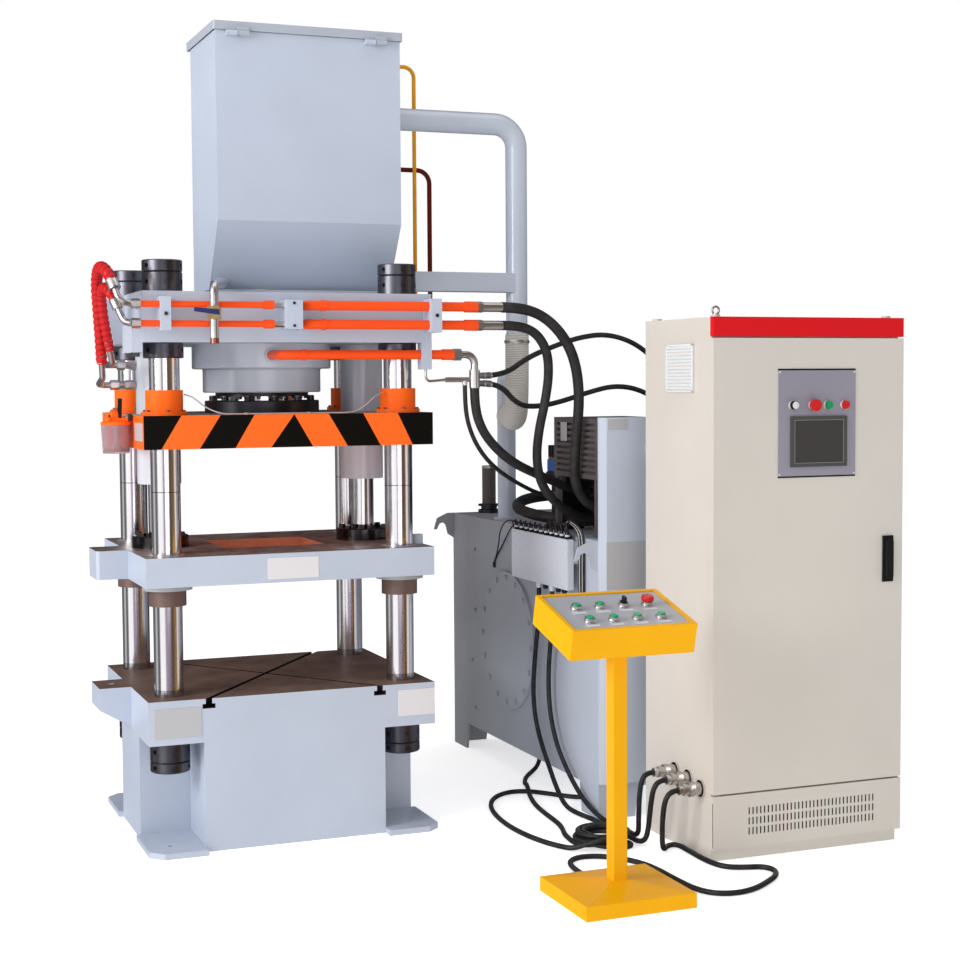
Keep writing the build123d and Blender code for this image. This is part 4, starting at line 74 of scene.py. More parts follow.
class Nodes:
    """A node tree that is filled one call at a time."""

    def __init__(self, tree):
        self.tree = tree

    def add(self, kind, inputs=None, **settings):
        made = self.tree.nodes.new(kind)
        for key, value in settings.items():
            setattr(made, key, value)
        for key, value in (inputs or {}).items():
            self.set(made, key, value)
        return made

    def set(self, made, key, value):
        """A socket is linked, and a colour is three numbers."""
        socket = made.inputs[key]
        if isinstance(value, bpy.types.NodeSocket):
            self.tree.links.new(value, socket)
        elif socket.type == "RGBA":
            socket.default_value = (*value, 1)
        else:
            socket.default_value = value

    def math(self, operation, *values):
        return self.add("ShaderNodeMath", dict(enumerate(values)), operation=operation).outputs[0]

    def times(self, first, second):
        return self.math("MULTIPLY", first, second)

    def linear(self, value, slope, start):
        return self.math("MULTIPLY_ADD", value, slope, start)

    def above(self, value, edge):
        return self.math("GREATER_THAN", value, edge)

    def below(self, value, edge):
        return self.math("LESS_THAN", value, edge)

    def near(self, value, reach):
        """1 where value is nearer to zero than reach."""
        return self.below(self.math("ABSOLUTE", value), reach)

    def inside(self, value, low, high):
        return self.times(self.above(value, low), self.below(value, high))

    def ramp(self, value, low, high):
        """value from low to high, as 0 to 1."""
        inputs = {"Value": value, "From Min": low, "From Max": high}
        return self.add("ShaderNodeMapRange", inputs, clamp=True).outputs[0]

    def choose(self, share, first, second):
        """The first shader, or the second where share is 1."""
        return self.add("ShaderNodeMixShader", {0: share, 1: first, 2: second}).outputs[0]


class Shader(Nodes):
    """A Principled material. Its inputs are keywords, with _ for a space."""

    def __init__(self, name, color, rough, metal=0.0, **inputs):
        self.mat = bpy.data.materials.new(name)
        self.mat.use_nodes = True
        super().__init__(self.mat.node_tree)
        self.main = self.tree.nodes["Principled BSDF"]
        self.put(Base_Color=color, Roughness=rough, Metallic=metal, **inputs)
        self.where = self.add("ShaderNodeTexCoord").outputs["Object"]

    def put(self, **inputs):
        for key, value in inputs.items():
            self.set(self.main, key.replace("_", " "), value)

    def cover(self, share, color):
        """Lays a colour over the present one where share is 1."""
        present = self.main.inputs["Base Color"].links[0].from_socket
        self.put(Base_Color=self.mix(share, present, color))

    def axes(self):
        return tuple(self.add("ShaderNodeSeparateXYZ", {0: self.where}).outputs)

    def noise(self, scale, detail, stretch=None, rough=0.55):
        vector = self.where
        if stretch:
            vector = self.add("ShaderNodeMapping", {"Vector": vector, "Scale": stretch}).outputs[0]
        inputs = {"Vector": vector, "Scale": scale, "Detail": detail, "Roughness": rough}
        return self.add("ShaderNodeTexNoise", inputs).outputs["Fac"]

    def mix(self, factor, first, second):
        return self.add("ShaderNodeMix", {0: factor, 6: first, 7: second}, data_type="RGBA").outputs[2]

    def bump(self, height, strength, distance):
        inputs = {"Strength": strength, "Distance": distance, "Height": height}
        self.put(Normal=self.add("ShaderNodeBump", inputs).outputs[0])


def tone(color, share):
    return tuple(min(1.0, c * share) for c in color)


def paint(name, color, rough, patch=0.05, grime=0.0, peel=0.12):
    """Sprayed enamel: faint cloudiness, orange peel and a little dust."""
    made = Shader(name, color, rough)
    cloud = made.ramp(made.noise(2.2, 4), 0.35, 0.65)
    base = made.mix(cloud, tone(color, 1 - patch), tone(color, 1 + patch))
    if grime:
        spots = made.ramp(made.noise(38, 6, rough=0.75), 0.6, 0.74)
        base = made.mix(made.times(spots, grime), base, (0.12, 0.1, 0.09))
    vivid = max(color) - min(color) > 0.4
    made.put(
        Base_Color=base,
        Specular_IOR_Level=0.13 if vivid or max(color) < 0.05 else 0.5,
        Roughness=made.linear(cloud, 0.08, rough),
    )
    made.bump(made.noise(420, 2), peel, 0.0004)
    return made


def glossy_paint(name, color):
    """Enamel under a clear coat, for the turned cylinders and pipes."""
    made = paint(name, color, 0.3, 0.03, 0.03)
    made.put(Coat_Weight=0.7, Coat_Roughness=0.16)
    return made


def machined(name, color, rough, lines, dark):
    """Turned or ground steel with fine lines across the given axes."""
    made = Shader(name, color, rough, 1.0)
    marks = made.noise(60, 3, lines)
    cloud = made.ramp(made.noise(7, 4), 0.3, 0.7)
    made.put(
        Base_Color=made.mix(made.times(cloud, 0.5), color, tone(color, dark)),
        Roughness=made.linear(marks, 0.18, rough - 0.08),
    )
    made.bump(marks, 0.12, 0.0003)
    return made


def rubber(name, color, rough, scale):
    made = Shader(name, color, rough, Specular_IOR_Level=0.3)
    wear = made.ramp(made.noise(26, 5), 0.45, 0.75)
    made.put(Base_Color=made.mix(wear, color, tuple(c + 0.018 for c in color)))
    made.bump(made.noise(scale, 2), 0.25, 0.0004)
    return made


def plastic(name, color, rough):
    made = Shader(name, color, rough, Specular_IOR_Level=0.25 if max(color) < 0.05 else 0.5)
    made.put(Roughness=made.linear(made.noise(120, 3), 0.12, rough - 0.05))
    made.bump(made.noise(900, 2), 0.03, 0.0002)
    return made


GREY = (0.475, 0.525, 0.625)
ORANGE = (0.98, 0.135, 0.008)
CABINET_WHITE = (0.66, 0.615, 0.555)
# Scales of the fine lines: ground along a rod, or brushed all over
GROUND = (1, 1, 140)
BRUSHED = (60, 60, 60)

machine_paint = paint("machine paint", GREY, 0.36, 0.03, 0.05)
deep_paint = paint("black enamel", (0.062, 0.052, 0.052), 0.35, 0.2)
orange_paint = paint("orange enamel", (0.93, 0.085, 0.012), 0.27, 0.05)
bush_paint = paint("bush orange", ORANGE, 0.33, 0.04, 0.05)
white_paint = paint("cabinet powder coat", CABINET_WHITE, 0.42, 0.02, 0.0, 0.35)
yellow_paint = paint("console yellow", (0.91, 0.44, 0.003), 0.3, 0.04, 0.02, 0.3)
chrome = machined("ground chrome", (0.84, 0.82, 0.83), 0.17, GROUND, 0.9)
steel = machined("zinc steel", (0.58, 0.56, 0.53), 0.36, (40, 40, 40), 0.75)
bright_steel = machined("bright steel", (0.68, 0.67, 0.66), 0.3, (30, 30, 30), 0.85)
dark_steel = machined("black oxide steel", (0.06, 0.06, 0.066), 0.36, BRUSHED, 0.5)
bolt_steel = machined("socket bolt steel", (0.16, 0.15, 0.15), 0.34, BRUSHED, 0.6)
brass = machined("brass", (0.7, 0.55, 0.27), 0.28, (40, 40, 40), 0.8)
hose_rubber = rubber("hose rubber", (0.022, 0.02, 0.02), 0.5, 700)
cable_rubber = rubber("cable jacket", (0.014, 0.014, 0.015), 0.42, 300)
black_plastic = plastic("black plastic", (0.012, 0.012, 0.013), 0.35)
box_plastic = plastic("pale box plastic", (0.6, 0.63, 0.7), 0.28)
blue_plastic = plastic("solenoid blue", (0.02, 0.13, 0.52), 0.35)
label_silver = plastic("bare label", (0.46, 0.46, 0.48), 0.35)
label_white = plastic("bare white label", (0.7, 0.68, 0.7), 0.4)
green_plastic = plastic("green cap", (0.01, 0.33, 0.12), 0.25)
red_plastic = plastic("red cap", (0.62, 0.015, 0.012), 0.25)
white_plastic = plastic("white cap", (0.7, 0.7, 0.68), 0.3)
# Near-black plastic for the painted shade in the bolts' sockets.
painted_socket_shade = plastic("painted socket shade", (0.006, 0.006, 0.007), 0.7)


def table_material():
    """Painted housing whose machined top carries a thin brown rust; the slots' walls below it are near black
    as painted shade.
    """
    made = paint("bed paint, rusty table and painted slot shade", GREY, 0.36, 0.03, 0.06)
    x, y, z = made.axes()
    plan = made.times(made.near(y, 0.4168), made.near(x, 0.5092))
    slots = made.times(plan, made.above(z, 0.4))
    bare = made.math("MAXIMUM", made.above(z, TABLE_TOP - 0.0004), slots)
    streak = made.ramp(made.noise(9, 7, (1, 1, 1), 0.7), 0.3, 0.7)
    fine = made.ramp(made.noise(70, 5, (1, 6, 1)), 0.35, 0.65)
    rust = made.mix(streak, (0.095, 0.056, 0.041), (0.2, 0.124, 0.092))
    rust = made.mix(made.times(fine, 0.35), rust, (0.15, 0.105, 0.085))
    # The slots' walls, below the top, are painted near black as shade in the slots.
    made.cover(bare, made.mix(made.below(z, TABLE_TOP - 0.0008), rust, (0.012, 0.01, 0.01)))
    made.put(Specular_IOR_Level=made.linear(bare, -0.42, 0.5), Roughness=made.linear(bare, 0.2, 0.38))
    return made


def platen_material():
    """Painted platen with a machined, stained top and rusty opening walls."""
    made = paint("platen paint and machined top", GREY, 0.36, 0.03, 0.05)
    x, y, z = made.axes()
    top = made.inside(z, PLATEN_TOP - 0.0004, PLATEN_TOP + 0.0015)
    hole = made.times(made.near(x, 0.1855), made.near(y, 0.1625))
    stain = made.ramp(made.noise(11, 8, None, 0.75), 0.35, 0.66)
    blotch = made.ramp(made.noise(24, 6, (1, 2.5, 1), 0.7), 0.5, 0.62)
    bare = made.mix(stain, (0.055, 0.04, 0.034), (0.3, 0.27, 0.25))
    made.cover(top, made.mix(made.times(blotch, 0.6), bare, (0.42, 0.4, 0.38)))
    made.cover(hole, made.mix(stain, (0.42, 0.115, 0.05), (0.55, 0.17, 0.08)))
    made.put(Metallic=made.times(top, 0.3), Specular_IOR_Level=made.linear(top, -0.3, 0.5))
    return made


# Edges of the hazard bands at the slider's top and bottom, orange and black in turn
BAND_TOP = (-0.383, -0.25, -0.133, 0.006, 0.006, 0.128, 0.253, 0.379)
BAND_LOW = (-0.452, -0.323, -0.201, -0.077, 0.072, 0.196, 0.316, 0.434)


def slider_material():
    """Orange slider with slanted black bands on its front and a worn top."""
    made = paint("slider orange and bands", ORANGE, 0.33, 0.03, 0.03)
    x, y, z = made.axes()
    height = made.ramp(z, SLIDER_LOW, SLIDER_TOP)
    flips = 0.0
    for high, low in zip(BAND_TOP, BAND_LOW):
        flips = made.math("ADD", flips, made.above(x, made.linear(height, high - low, low)))
    black = made.math("SUBTRACT", 1.0, made.math("MODULO", flips, 2.0))
    dark = made.times(black, made.below(y, FRONT + SKIN))
    made.cover(dark, (0.006, 0.005, 0.004))
    made.put(Specular_IOR_Level=made.linear(dark, -0.16, 0.2))
    top = made.times(made.above(z, SLIDER_TOP - SKIN), made.near(y, 0.412))
    worn = made.ramp(made.noise(14, 6, None, 0.7), 0.4, 0.6)
    made.cover(top, made.mix(worn, (0.16, 0.13, 0.12), (0.34, 0.27, 0.24)))
    return made


def pilot_material():
    """A yellow front pipe and a dark red rear one."""
    made = paint("pilot pipe paints", (0.78, 0.33, 0.01), 0.35)
    made.cover(made.above(made.axes()[1], 0.12), (0.11, 0.01, 0.006))
    return made


def oil_tank_material():
    """Grey tank side with painted shade that darkens it towards the rear, and a lighter front."""
    made = paint("oil tank paint", (0.3, 0.32, 0.36), 0.45, 0.08, 0.08)
    # The side darkens from front to rear as painted shade, with a little random tone.
    forward = made.ramp(made.axes()[1], 0.75, -0.5)
    share = made.ramp(made.linear(made.noise(2.6, 5), 0.25, forward), 0.05, 1.15)
    made.put(Base_Color=made.mix(share, (0.215, 0.218, 0.23), (0.46, 0.5, 0.585)))
    return made


def column_material():
    """Ground chrome with a scribed ring and a band at its foot darkened halfway to near black."""
    made = machined("columns", (0.86, 0.835, 0.86), 0.14, (1, 1, 160), 0.92)
    z = made.axes()[2]
    foot = made.times(made.inside(z, 0.5, 0.552), 0.5)
    made.cover(made.math("MAXIMUM", made.inside(z, 1.2255, 1.2278), foot), (0.1, 0.09, 0.09))
    return made


def drain_material():
    """Pale pipe above, brass body between and a reddish outlet."""
    made = machined("drain line", (0.68, 0.67, 0.68), 0.3, (30, 30, 30), 0.85)
    z = made.axes()[2]
    made.cover(made.inside(z, 1.803, 1.852), (0.66, 0.52, 0.25))
    made.cover(made.below(z, 1.744), (0.42, 0.16, 0.12))
    return made


def rod_material():
    """Chromed rod above its black foot flange."""
    made = machined("lift rods", (0.84, 0.82, 0.83), 0.16, GROUND, 0.9)
    made.cover(made.below(made.axes()[2], 1.0655), (0.05, 0.045, 0.045))
    return made


def platen_bush_material():
    """Pale ring under the plate and brown bush below it."""
    made = machined("platen bushes", (0.2, 0.125, 0.105), 0.45, (8, 8, 30), 0.6)
    made.cover(made.above(made.axes()[2], 0.8925), (0.45, 0.46, 0.48))
    made.put(Metallic=0.4)
    return made


def cabinet_material():
    """Powder-coated body with a red header, and vent slots painted near black as shade."""
    made = paint("cabinet body coat", CABINET_WHITE, 0.42, 0.02, 0.0, 0.35)
    y, z = made.axes()[1:]
    header = made.times(made.below(y, CAB_FRONT - 0.001), made.above(z, 1.7355))
    slots = made.times(made.inside(y, DOOR_FRONT + 0.0002, DOOR_FRONT + 0.0045), made.inside(z, 0.05, 0.2))
    made.cover(header, (0.7, 0.008, 0.013))
    # The vent slots' hollows are painted near black as shade.
    made.cover(slots, (0.03, 0.028, 0.026))
    made.put(Specular_IOR_Level=made.linear(header, -0.37, 0.5))
    return made


def ribbed_material(name, hollow, ridge, rough, clear=0.0):
    """A guard or duct whose ridges are told by the mesh's own rib value."""
    made = Shader(name, hollow, rough, Specular_IOR_Level=0.25)
    rib = made.add("ShaderNodeAttribute", attribute_name="rib").outputs["Fac"]
    dust = made.ramp(made.noise(40, 4), 0.4, 0.7)
    made.put(Base_Color=made.mix(made.linear(dust, 0.15, rib), hollow, ridge))
    made.bump(made.noise(500, 2), 0.1, 0.0003)
    if clear:
        made.put(Transmission_Weight=clear, IOR=1.2)
    return made


def clear_material(name, color, rough):
    made = Shader(name, color, rough, Transmission_Weight=0.75, IOR=1.12)
    made.bump(made.noise(60, 3), 0.08, 0.0005)
    return made


# Geometry


def add_object(name, data):
    """An object in the scene that holds the data."""
    made = bpy.data.objects.new(name, data)
    bpy.context.scene.collection.objects.link(made)
    return made


def round_edges(piece, width, sharp):
    """Rounds the edges that turn by more than sharp degrees."""
    rounding = piece.modifiers.new("rounding", "BEVEL")
    rounding.width = width
    rounding.segments = 2
    rounding.limit_method = "ANGLE"
    rounding.angle_limit = math.radians(sharp)


def finish_piece(name, bm, body, material, smooth=30, bevel=0.0):
    """A mesh piece that rides on a body, with softened edges."""
    mesh = bpy.data.meshes.new(name)
    bm.normal_update()
    bm.to_mesh(mesh)
    bm.free()
    piece = add_object(name, mesh)
    mesh.materials.append(material.mat)
    if bevel:
        round_edges(piece, bevel, 35)
    for polygon in mesh.polygons:
        polygon.use_smooth = True
    mesh.set_sharp_from_angle(angle=math.radians(smooth))
    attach(piece, body)
    return piece


def close_tube(bm, rings):
    """Faces between rings of vertices, and an end on each side."""
    for low, high in zip(rings, rings[1:]):
        for step in range(len(low)):
            following = (step + 1) % len(low)
            bm.faces.new((low[step], low[following], high[following], high[step]))
    bm.faces.new(reversed(rings[0]))
    bm.faces.new(rings[-1])


def turned(bm, profile, at, axis, sides):
    """Revolves (radius, height) points about an axis through at."""
    turn = Vector(axis).to_track_quat("Z", "Y").to_matrix()
    rings = []
    for radius, height in profile:
        ring = []
        for step in range(sides):
            angle = 2 * math.pi * step / sides
            spot = Vector((radius * math.cos(angle), radius * math.sin(angle), height))
            ring.append(bm.verts.new(Vector(at) + turn @ spot))
        rings.append(ring)
    close_tube(bm, rings)


def block(bm, low, high, turn=None):
    """A box between two corners, turned about its middle by an optional matrix."""
    middle = (Vector(low) + Vector(high)) / 2
    half = (Vector(high) - Vector(low)) / 2
    corners = []
    for x in (-1, 1):
        for y in (-1, 1):
            for z in (-1, 1):
                spot = Vector((x * half.x, y * half.y, z * half.z))
                corners.append(bm.verts.new(middle + (turn @ spot if turn else spot)))
    for face in ((0, 1, 3, 2), (4, 6, 7, 5), (0, 4, 5, 1), (2, 3, 7, 6), (0, 2, 6, 4), (1, 5, 7, 3)):
        bm.faces.new([corners[i] for i in face])


def slab(bm, middle, half, turn=None):
    """A box about its middle."""
    block(bm, Vector(middle) - Vector(half), Vector(middle) + Vector(half), turn)


def spun(profile, spots, axis, sides):
    """The same turned shape at each spot."""
    return [(turned, profile, spot, axis, sides) for spot in spots]


def solid(name, body, material, shapes, bevel=0.0):
    """A piece made of shapes, each given as a function and its arguments."""
    bm = bmesh.new()
    for shape, *given in shapes:
        shape(bm, *given)
    return finish_piece(name, bm, body, material, bevel=bevel)


def socket_bolts(name, body, spots, axis, radius, height):
    """Cap screws with a hex socket: turned heads, with a near-black six-sided disc as painted shade in each
    socket.
    """
    head = [(radius, 0), (radius, height * 0.86), (radius * 0.86, height), (radius * 0.55, height)]
    # A thin near-black disc in each socket, as painted shade.
    recess = [(radius * 0.5, height + 0.0001), (radius * 0.48, height + 0.0003)]
    solid(name, body, bolt_steel, spun(head, spots, axis, 24))
    solid(f"{name}_sockets", body, painted_socket_shade, spun(recess, spots, axis, 6))


def hex_bolts(name, body, spots, axis, radius, height, material):
    """Hex heads on a washer, crowned at the top."""
    washer = [(radius * 1.25, 0), (radius * 1.25, height * 0.18)]
    head = [(radius, height * 0.18), (radius, height * 0.88), (radius * 0.82, height)]
    solid(name, body, material, spun(washer, spots, axis, 24) + spun(head, spots, axis, 6))


def plate(name, body, low, high, material, bevel=0.0006):
    solid(name, body, material, [(block, low, high)], bevel)


def new_curve(name, resolution):
    curve = bpy.data.curves.new(name, "CURVE")
    curve.dimensions = "3D"
    curve.resolution_u = resolution
    return curve


def add_spline(curve, points):
    """An open spline of order 3 that uses a route's points as its control points."""
    spline = curve.splines.new("NURBS")
    spline.points.add(len(points) - 1)
    for held, spot in zip(spline.points, points):
        held.co = (*spot, 1)
    spline.order_u = 3
    spline.use_endpoint_u = True


def nurbs(name, route):
    """A curve along a route in millimetres; a point without a height lies on the floor."""
    curve = new_curve(name, 12)
    add_spline(curve, [[value / 1000 for value in (*spot, CABLE_LIES_AT)[:3]] for spot in route])
    return add_object(name, curve)


def centreline(piece):
    """The points that a curve with no bevel gives."""
    graph = bpy.context.evaluated_depsgraph_get()
    mesh = bpy.data.meshes.new_from_object(piece.evaluated_get(graph))
    points = [vertex.co.copy() for vertex in mesh.vertices]
    bpy.data.meshes.remove(mesh)
    return points


def evenly(points, step):
    """Points every step along a fine line."""
    result = [points[0]]
    left = step
    for start, end in zip(points, points[1:]):
        run = (end - start).length
        done = 0.0
        while run - done >= left > 0:
            done += left
            result.append(start.lerp(end, done / run))
            left = step
        left -= run - done
    if (result[-1] - points[-1]).length > step * 0.3:
        result.append(points[-1])
    return result


def frames_along(points):
    """Two cross directions at each point, carried along without twist."""
    side = Vector((0.31, 0.2, 0.93))
    result = []
    for number, spot in enumerate(points):
        before = points[max(number - 1, 0)]
        after = points[min(number + 1, len(points) - 1)]
        ahead = (after - before).normalized()
        side = (side - ahead * side.dot(ahead)).normalized()
        result.append((spot, side, ahead.cross(side)))
    return result


def swept(points, radius_at, sides):
    """A closed tube whose radius follows distance and angle, with its rib value stored."""
    bm = bmesh.new()
    rib = bm.verts.layers.float.new("rib")
    rings = []
    gone = 0.0
    last = points[0]
    for spot, side, up in frames_along(points):
        gone += (spot - last).length
        last = spot
        ring = []
        for step in range(sides):
            angle = 2 * math.pi * step / sides
            radius, value = radius_at(gone, angle)
            vertex = bm.verts.new(spot + (side * math.cos(angle) + up * math.sin(angle)) * radius)
            vertex[rib] = value
            ring.append(vertex)
        rings.append(ring)
    close_tube(bm, rings)
    return bm


def plain_cord(name, route, diameter, nodes, material, slot, lay, stiffness):
    """A hose or cable as a round curve along its route."""
    piece = nurbs(name, route)
    line = centreline(piece)
    piece.data.bevel_depth = diameter / 2
    piece.data.bevel_resolution = 4
    piece.data.use_fill_caps = True
    piece.data.materials.append(material.mat)
    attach(piece, "frame")
    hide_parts(*nodes)
    return line


def ribbed_cord(name, route, node, material, step, sides, radius_at):
    """A limp hose whose wall is swept from its ribs."""
    guide = nurbs(f"{name}_line", route)
    line = centreline(guide)
    bpy.data.objects.remove(guide)
    piece = finish_piece(name, swept(evenly(line, step), radius_at, sides), "frame", material, 60)
    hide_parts(node)
    return line


SLEEVE_STEP = 0.004
CRIMP_PITCH = 0.009


def crimped(radius):
    """The radius and rib value of a crimped sleeve."""

    def radius_at(gone, _):
        ridge = 0.5 + 0.5 * math.cos(gone / CRIMP_PITCH * 2 * math.pi)
        return radius - 0.0012 * ridge, ridge

    return radius_at


def end_sleeve(name, line, at_end, length, radius, material, start=0.0):
    """A crimped ferrule over a hose's first or last stretch."""
    points = evenly(line[::-1] if at_end else line, SLEEVE_STEP)
    kept = points[int(start / SLEEVE_STEP) : int((start + length) / SLEEVE_STEP) + 1]
    finish_piece(name, swept(kept, crimped(radius), 20), "frame", material)


# The CAD's nodes by the material that they wear
DRESS = {
    table_material(): "bed",
    column_material(): "columns",
    machined("nut steel", (0.13, 0.13, 0.15), 0.33, BRUSHED, 0.7): "column_nuts",
    machine_paint: "crown prefill_tank pipe_blocks",
    # The cylinder's paint is lighter than the machine grey, as painted fill light where it sits in shade.
    glossy_paint("cylinder paint", (0.58, 0.62, 0.71)): "main_cylinder",
    dark_steel: "cylinder_gland ram_flange valve_stack tank_fittings",
    steel: "prefill_valve motor_shaft cable_connectors console_panel",
    paint("lid paint", (0.4, 0.435, 0.5), 0.36, 0.03, 0.03): "tank_lid",
    drain_material(): "drain_valve",
    paint("lever blue", (0.012, 0.022, 0.13), 0.3): "drain_lever",
    orange_paint: "front_pipes",
    bright_steel: "pipe_fittings",
    # The lift barrels' paint is lighter than the machine grey, as painted fill light where they sit in
    # shade.
    glossy_paint("lift cylinder paint", (0.6, 0.63, 0.7)): "lift_cylinders",
    rod_material(): "lift_rods",
    slider_material(): "slider_plate",
    bush_paint: "slider_bushes",
    chrome: "main_ram",
    black_plastic: "lube_lever door_handle cabinet_key console_selector",
    paint("thin line grey", (0.42, 0.4, 0.38), 0.4): "lube_lines",
    platen_material(): "middle_platen",
    platen_bush_material(): "platen_bushes",
    # The return pipe's paint is lighter than the machine grey, as painted light.
    glossy_paint("return pipe paint", (0.53, 0.58, 0.67)): "return_pipe",
    pilot_material(): "pilot_pipes",
    oil_tank_material(): "oil_tank manhole_cover",
    box_plastic: "terminal_box",
    # The guard panel's paint is lighter than the machine grey, as painted light.
    paint("panel paint", (0.53, 0.58, 0.68), 0.38, 0.03, 0.03): "guard_panel",
    # The cooler's enamel is lighter than the black enamel, as painted light where it sits in shade.
    paint("cooler enamel", (0.1, 0.085, 0.085), 0.38, 0.15): "oil_cooler",
    deep_paint: "pump_motor",
    cabinet_material(): "cabinet_body",
    white_paint: "cabinet_door",
    red_plastic: "cabinet_stop cabinet_red console_stop",
    green_plastic: "cabinet_green " + " ".join(f"console_button_{number}" for number in range(1, 7)),
    yellow_paint: "console_stand",
    cable_rubber: "cable_coil",
}
# Width of the rounding on CAD nodes whose edges show
ROUNDED = {
    0.003: "crown oil_tank guard_panel cabinet_door terminal_box",
    0.002: "bed middle_platen tank_lid cabinet_body console_stand oil_cooler",
    0.0015: "slider_plate prefill_tank pipe_blocks main_cylinder return_pipe",
    0.001: "ram_flange",
    0.0008: "column_nuts",
}
for shader, node_names in DRESS.items():
    for node_name in node_names.split():
        for held in NODES[node_name].material_slots:
            held.material = shader.mat
for width, node_names in ROUNDED.items():
    for node_name in node_names.split():
        round_edges(NODES[node_name], width, 40)

# Routes of the hoses and cables, in millimetres, as in the CAD
HOSE_X = 755
MANIFOLD_LEFT = 1320
CABLE_D = 0.018
CABLE_LIES_AT = 9
HOSE_A = [
    (HOSE_X, -470, 1856), (830, -470, 1856), (925, -460, 1826), (1005, -450, 1756), (1060, -430, 1665),
    (1085, -410, 1545), (1089, -382, 1425), (1091, -352, 1320), (1102, -325, 1222), (1150, -300, 1145),
    (1230, -290, 1110), (MANIFOLD_LEFT, -290, 1110),
]
HOSE_B = [
    (HOSE_X, -470, 1792), (824, -470, 1792), (894, -460, 1766), (944, -440, 1702), (960, -418, 1616),
    (955, -392, 1515), (942, -362, 1410), (946, -330, 1305), (982, -292, 1208), (1060, -252, 1134),
    (1152, -208, 1086), (1242, -180, 1066), (MANIFOLD_LEFT, -180, 1066),
]
HOSE_C = [
    (677, -400, 1571), (677, -400, 1498), (710, -390, 1415), (780, -360, 1345), (870, -315, 1290),
    (975, -255, 1250), (1072, -197, 1216), (1160, -150, 1184), (1244, -110, 1165),
    (MANIFOLD_LEFT, -110, 1165),
]
HOSE_LOOP = [
    (MANIFOLD_LEFT, -102, 1056), (1252, -102, 1056), (1204, -96, 1057), (1163, -74, 1060),
    (1120, -38, 1065), (1080, 18, 1075), (1062, 90, 1086), (1074, 162, 1096), (1112, 234, 1106),
    (1168, 290, 1114), (1234, 328, 1120), (1306, 344, 1123), (1382, 342, 1124), (1459, 342, 1124),
]
HOSE_BRANCH = [
    (640, -400, 1581), (640, -400, 1520), (654, -386, 1452), (690, -356, 1384), (746, -312, 1322),
    (820, -252, 1270), (904, -184, 1228), (992, -108, 1192), (1070, -40, 1164), (1130, -10, 1150),
    (1180, -10, 1150),
]
LONG_A = [
    (718, -378, 1615), (820.5, -323, 1615), (940, -260, 1680), (1090, -165, 1725), (1240, -75, 1762),
    (1390, 5, 1778), (1530, 60, 1752), (1630, 70, 1690), (1690, 40, 1600), (1705, -20, 1505),
    (1690, -80, 1410), (1660, -98, 1340), (1660, -98, 1290),
]
LONG_B = [
    (718, -378, 1587), (800, -334, 1587), (890, -290, 1505), (1010, -205, 1498), (1140, -125, 1515),
    (1280, -60, 1548), (1420, -10, 1575), (1540, 10, 1560), (1620, -35, 1505), (1655, -95, 1430),
    (1660, -150, 1350), (1660, -150, 1290),
]
RED_A = [
    (-603, -462, 1903), (-614, -442, 1944), (-625, -400, 1974), (-631, -340, 1984), (-631, -282, 1964),
    (-627, -240, 1918), (-620, -214, 1866), (-612, -186, 1800), (-604, -159, 1734), (-596, -126, 1668),
]
RED_B = [
    (-588, -430, 1840), (-604, -416, 1882), (-616, -382, 1910), (-621, -336, 1917), (-620, -292, 1896),
    (-613, -262, 1858), (-605, -240, 1815), (-592, -216, 1764), (-578, -186, 1712),
]
FLEX = [
    (1010, 0, 1776), (1010, 0, 1692), (1013, 9, 1606), (1027, 46, 1526), (1052, 112, 1471),
    (1079, 195, 1445), (1104, 275, 1443), (1132.2, 370.4, 1452), (1156, 452, 1452),
]
CONSOLE_CABLE = [
    (1111.5, -1122, 233), (1085, -1122, 233), (1063, -1120, 205), (1058, -1114, 145), (1066, -1095, 80),
    (1085, -1062, 32), (1112, -1022, 10), (1142, -985), (1174, -975), (1184, -1005), (1182, -1065),
    (1178, -1140), (1180, -1220), (1200, -1285), (1255, -1312), (1312, -1325), (1332, -1372),
    (1302, -1430), (1240, -1480), (1165, -1530), (1090, -1548), (1025, -1525), (993, -1465),
    (986, -1390), (983, -1310), (982, -1230), (972, -1150), (937, -1070), (880, -1010), (812, -990),
    (757, -1025), (738, -1090), (734, -1175), (734, -1259),
]
BOX_A = [
    (1111.5, -1036, 250), (1085, -1036, 250), (1064, -1034, 224), (1058, -1026, 160), (1062, -1005, 90),
    (1072, -965, 34), (1078, -905), (1077, -840), (1073, -770), (1067, -695), (1064, -620),
    (1058, -540), (1045, -460), (1036, -380, 16), (1042, -290, 60), (1054, -190, 125),
    (1058, -100, 205), (1058, -45, 295), (1058, -30, 390), (1058, -42, 490), (1057, -66, 590),
    (1056, -97, 690), (1056, -97, 802),
]
BOX_B = [
    (1111.5, -942, 256), (1085, -942, 256), (1067, -940, 230), (1062, -934, 168), (1070, -914, 92),
    (1088, -878, 36), (1102, -825, 10), (1106, -755), (1100, -680), (1086, -605, 12), (1070, -520, 40),
    (1062, -430, 86), (1060, -335, 148), (1059, -250, 222), (1058, -198, 315), (1058, -178, 415),
    (1057, -184, 515), (1056, -206, 610), (1056, -220, 700), (1056, -220, 802),
]
COIL_IN = [
    (1212, 256, 112), (1212, 256, 62), (1190, 238, 22), (1142, 198), (1097, 138), (1062, 70),
    (1037, 5, 16), (1018, -48, 31), (1002, -102, 31), (985, -160, 14), (968, -230), (950, -310),
    (938, -400), (930, -490), (922, -575), (904, -650), (882, -712), (874, -765),
]
COIL_BACK = [
    (830, -893), (797, -835), (770, -755), (752, -655), (745, -550), (750, -445), (764, -345),
    (790, -245), (832, -155), (892, -88), (957, -63), (1018, -87), (1064, -143), (1108, -203),
    (1156, -254), (1202, -291, 20), (1222, -308, 60), (1222, -308, 112),
]
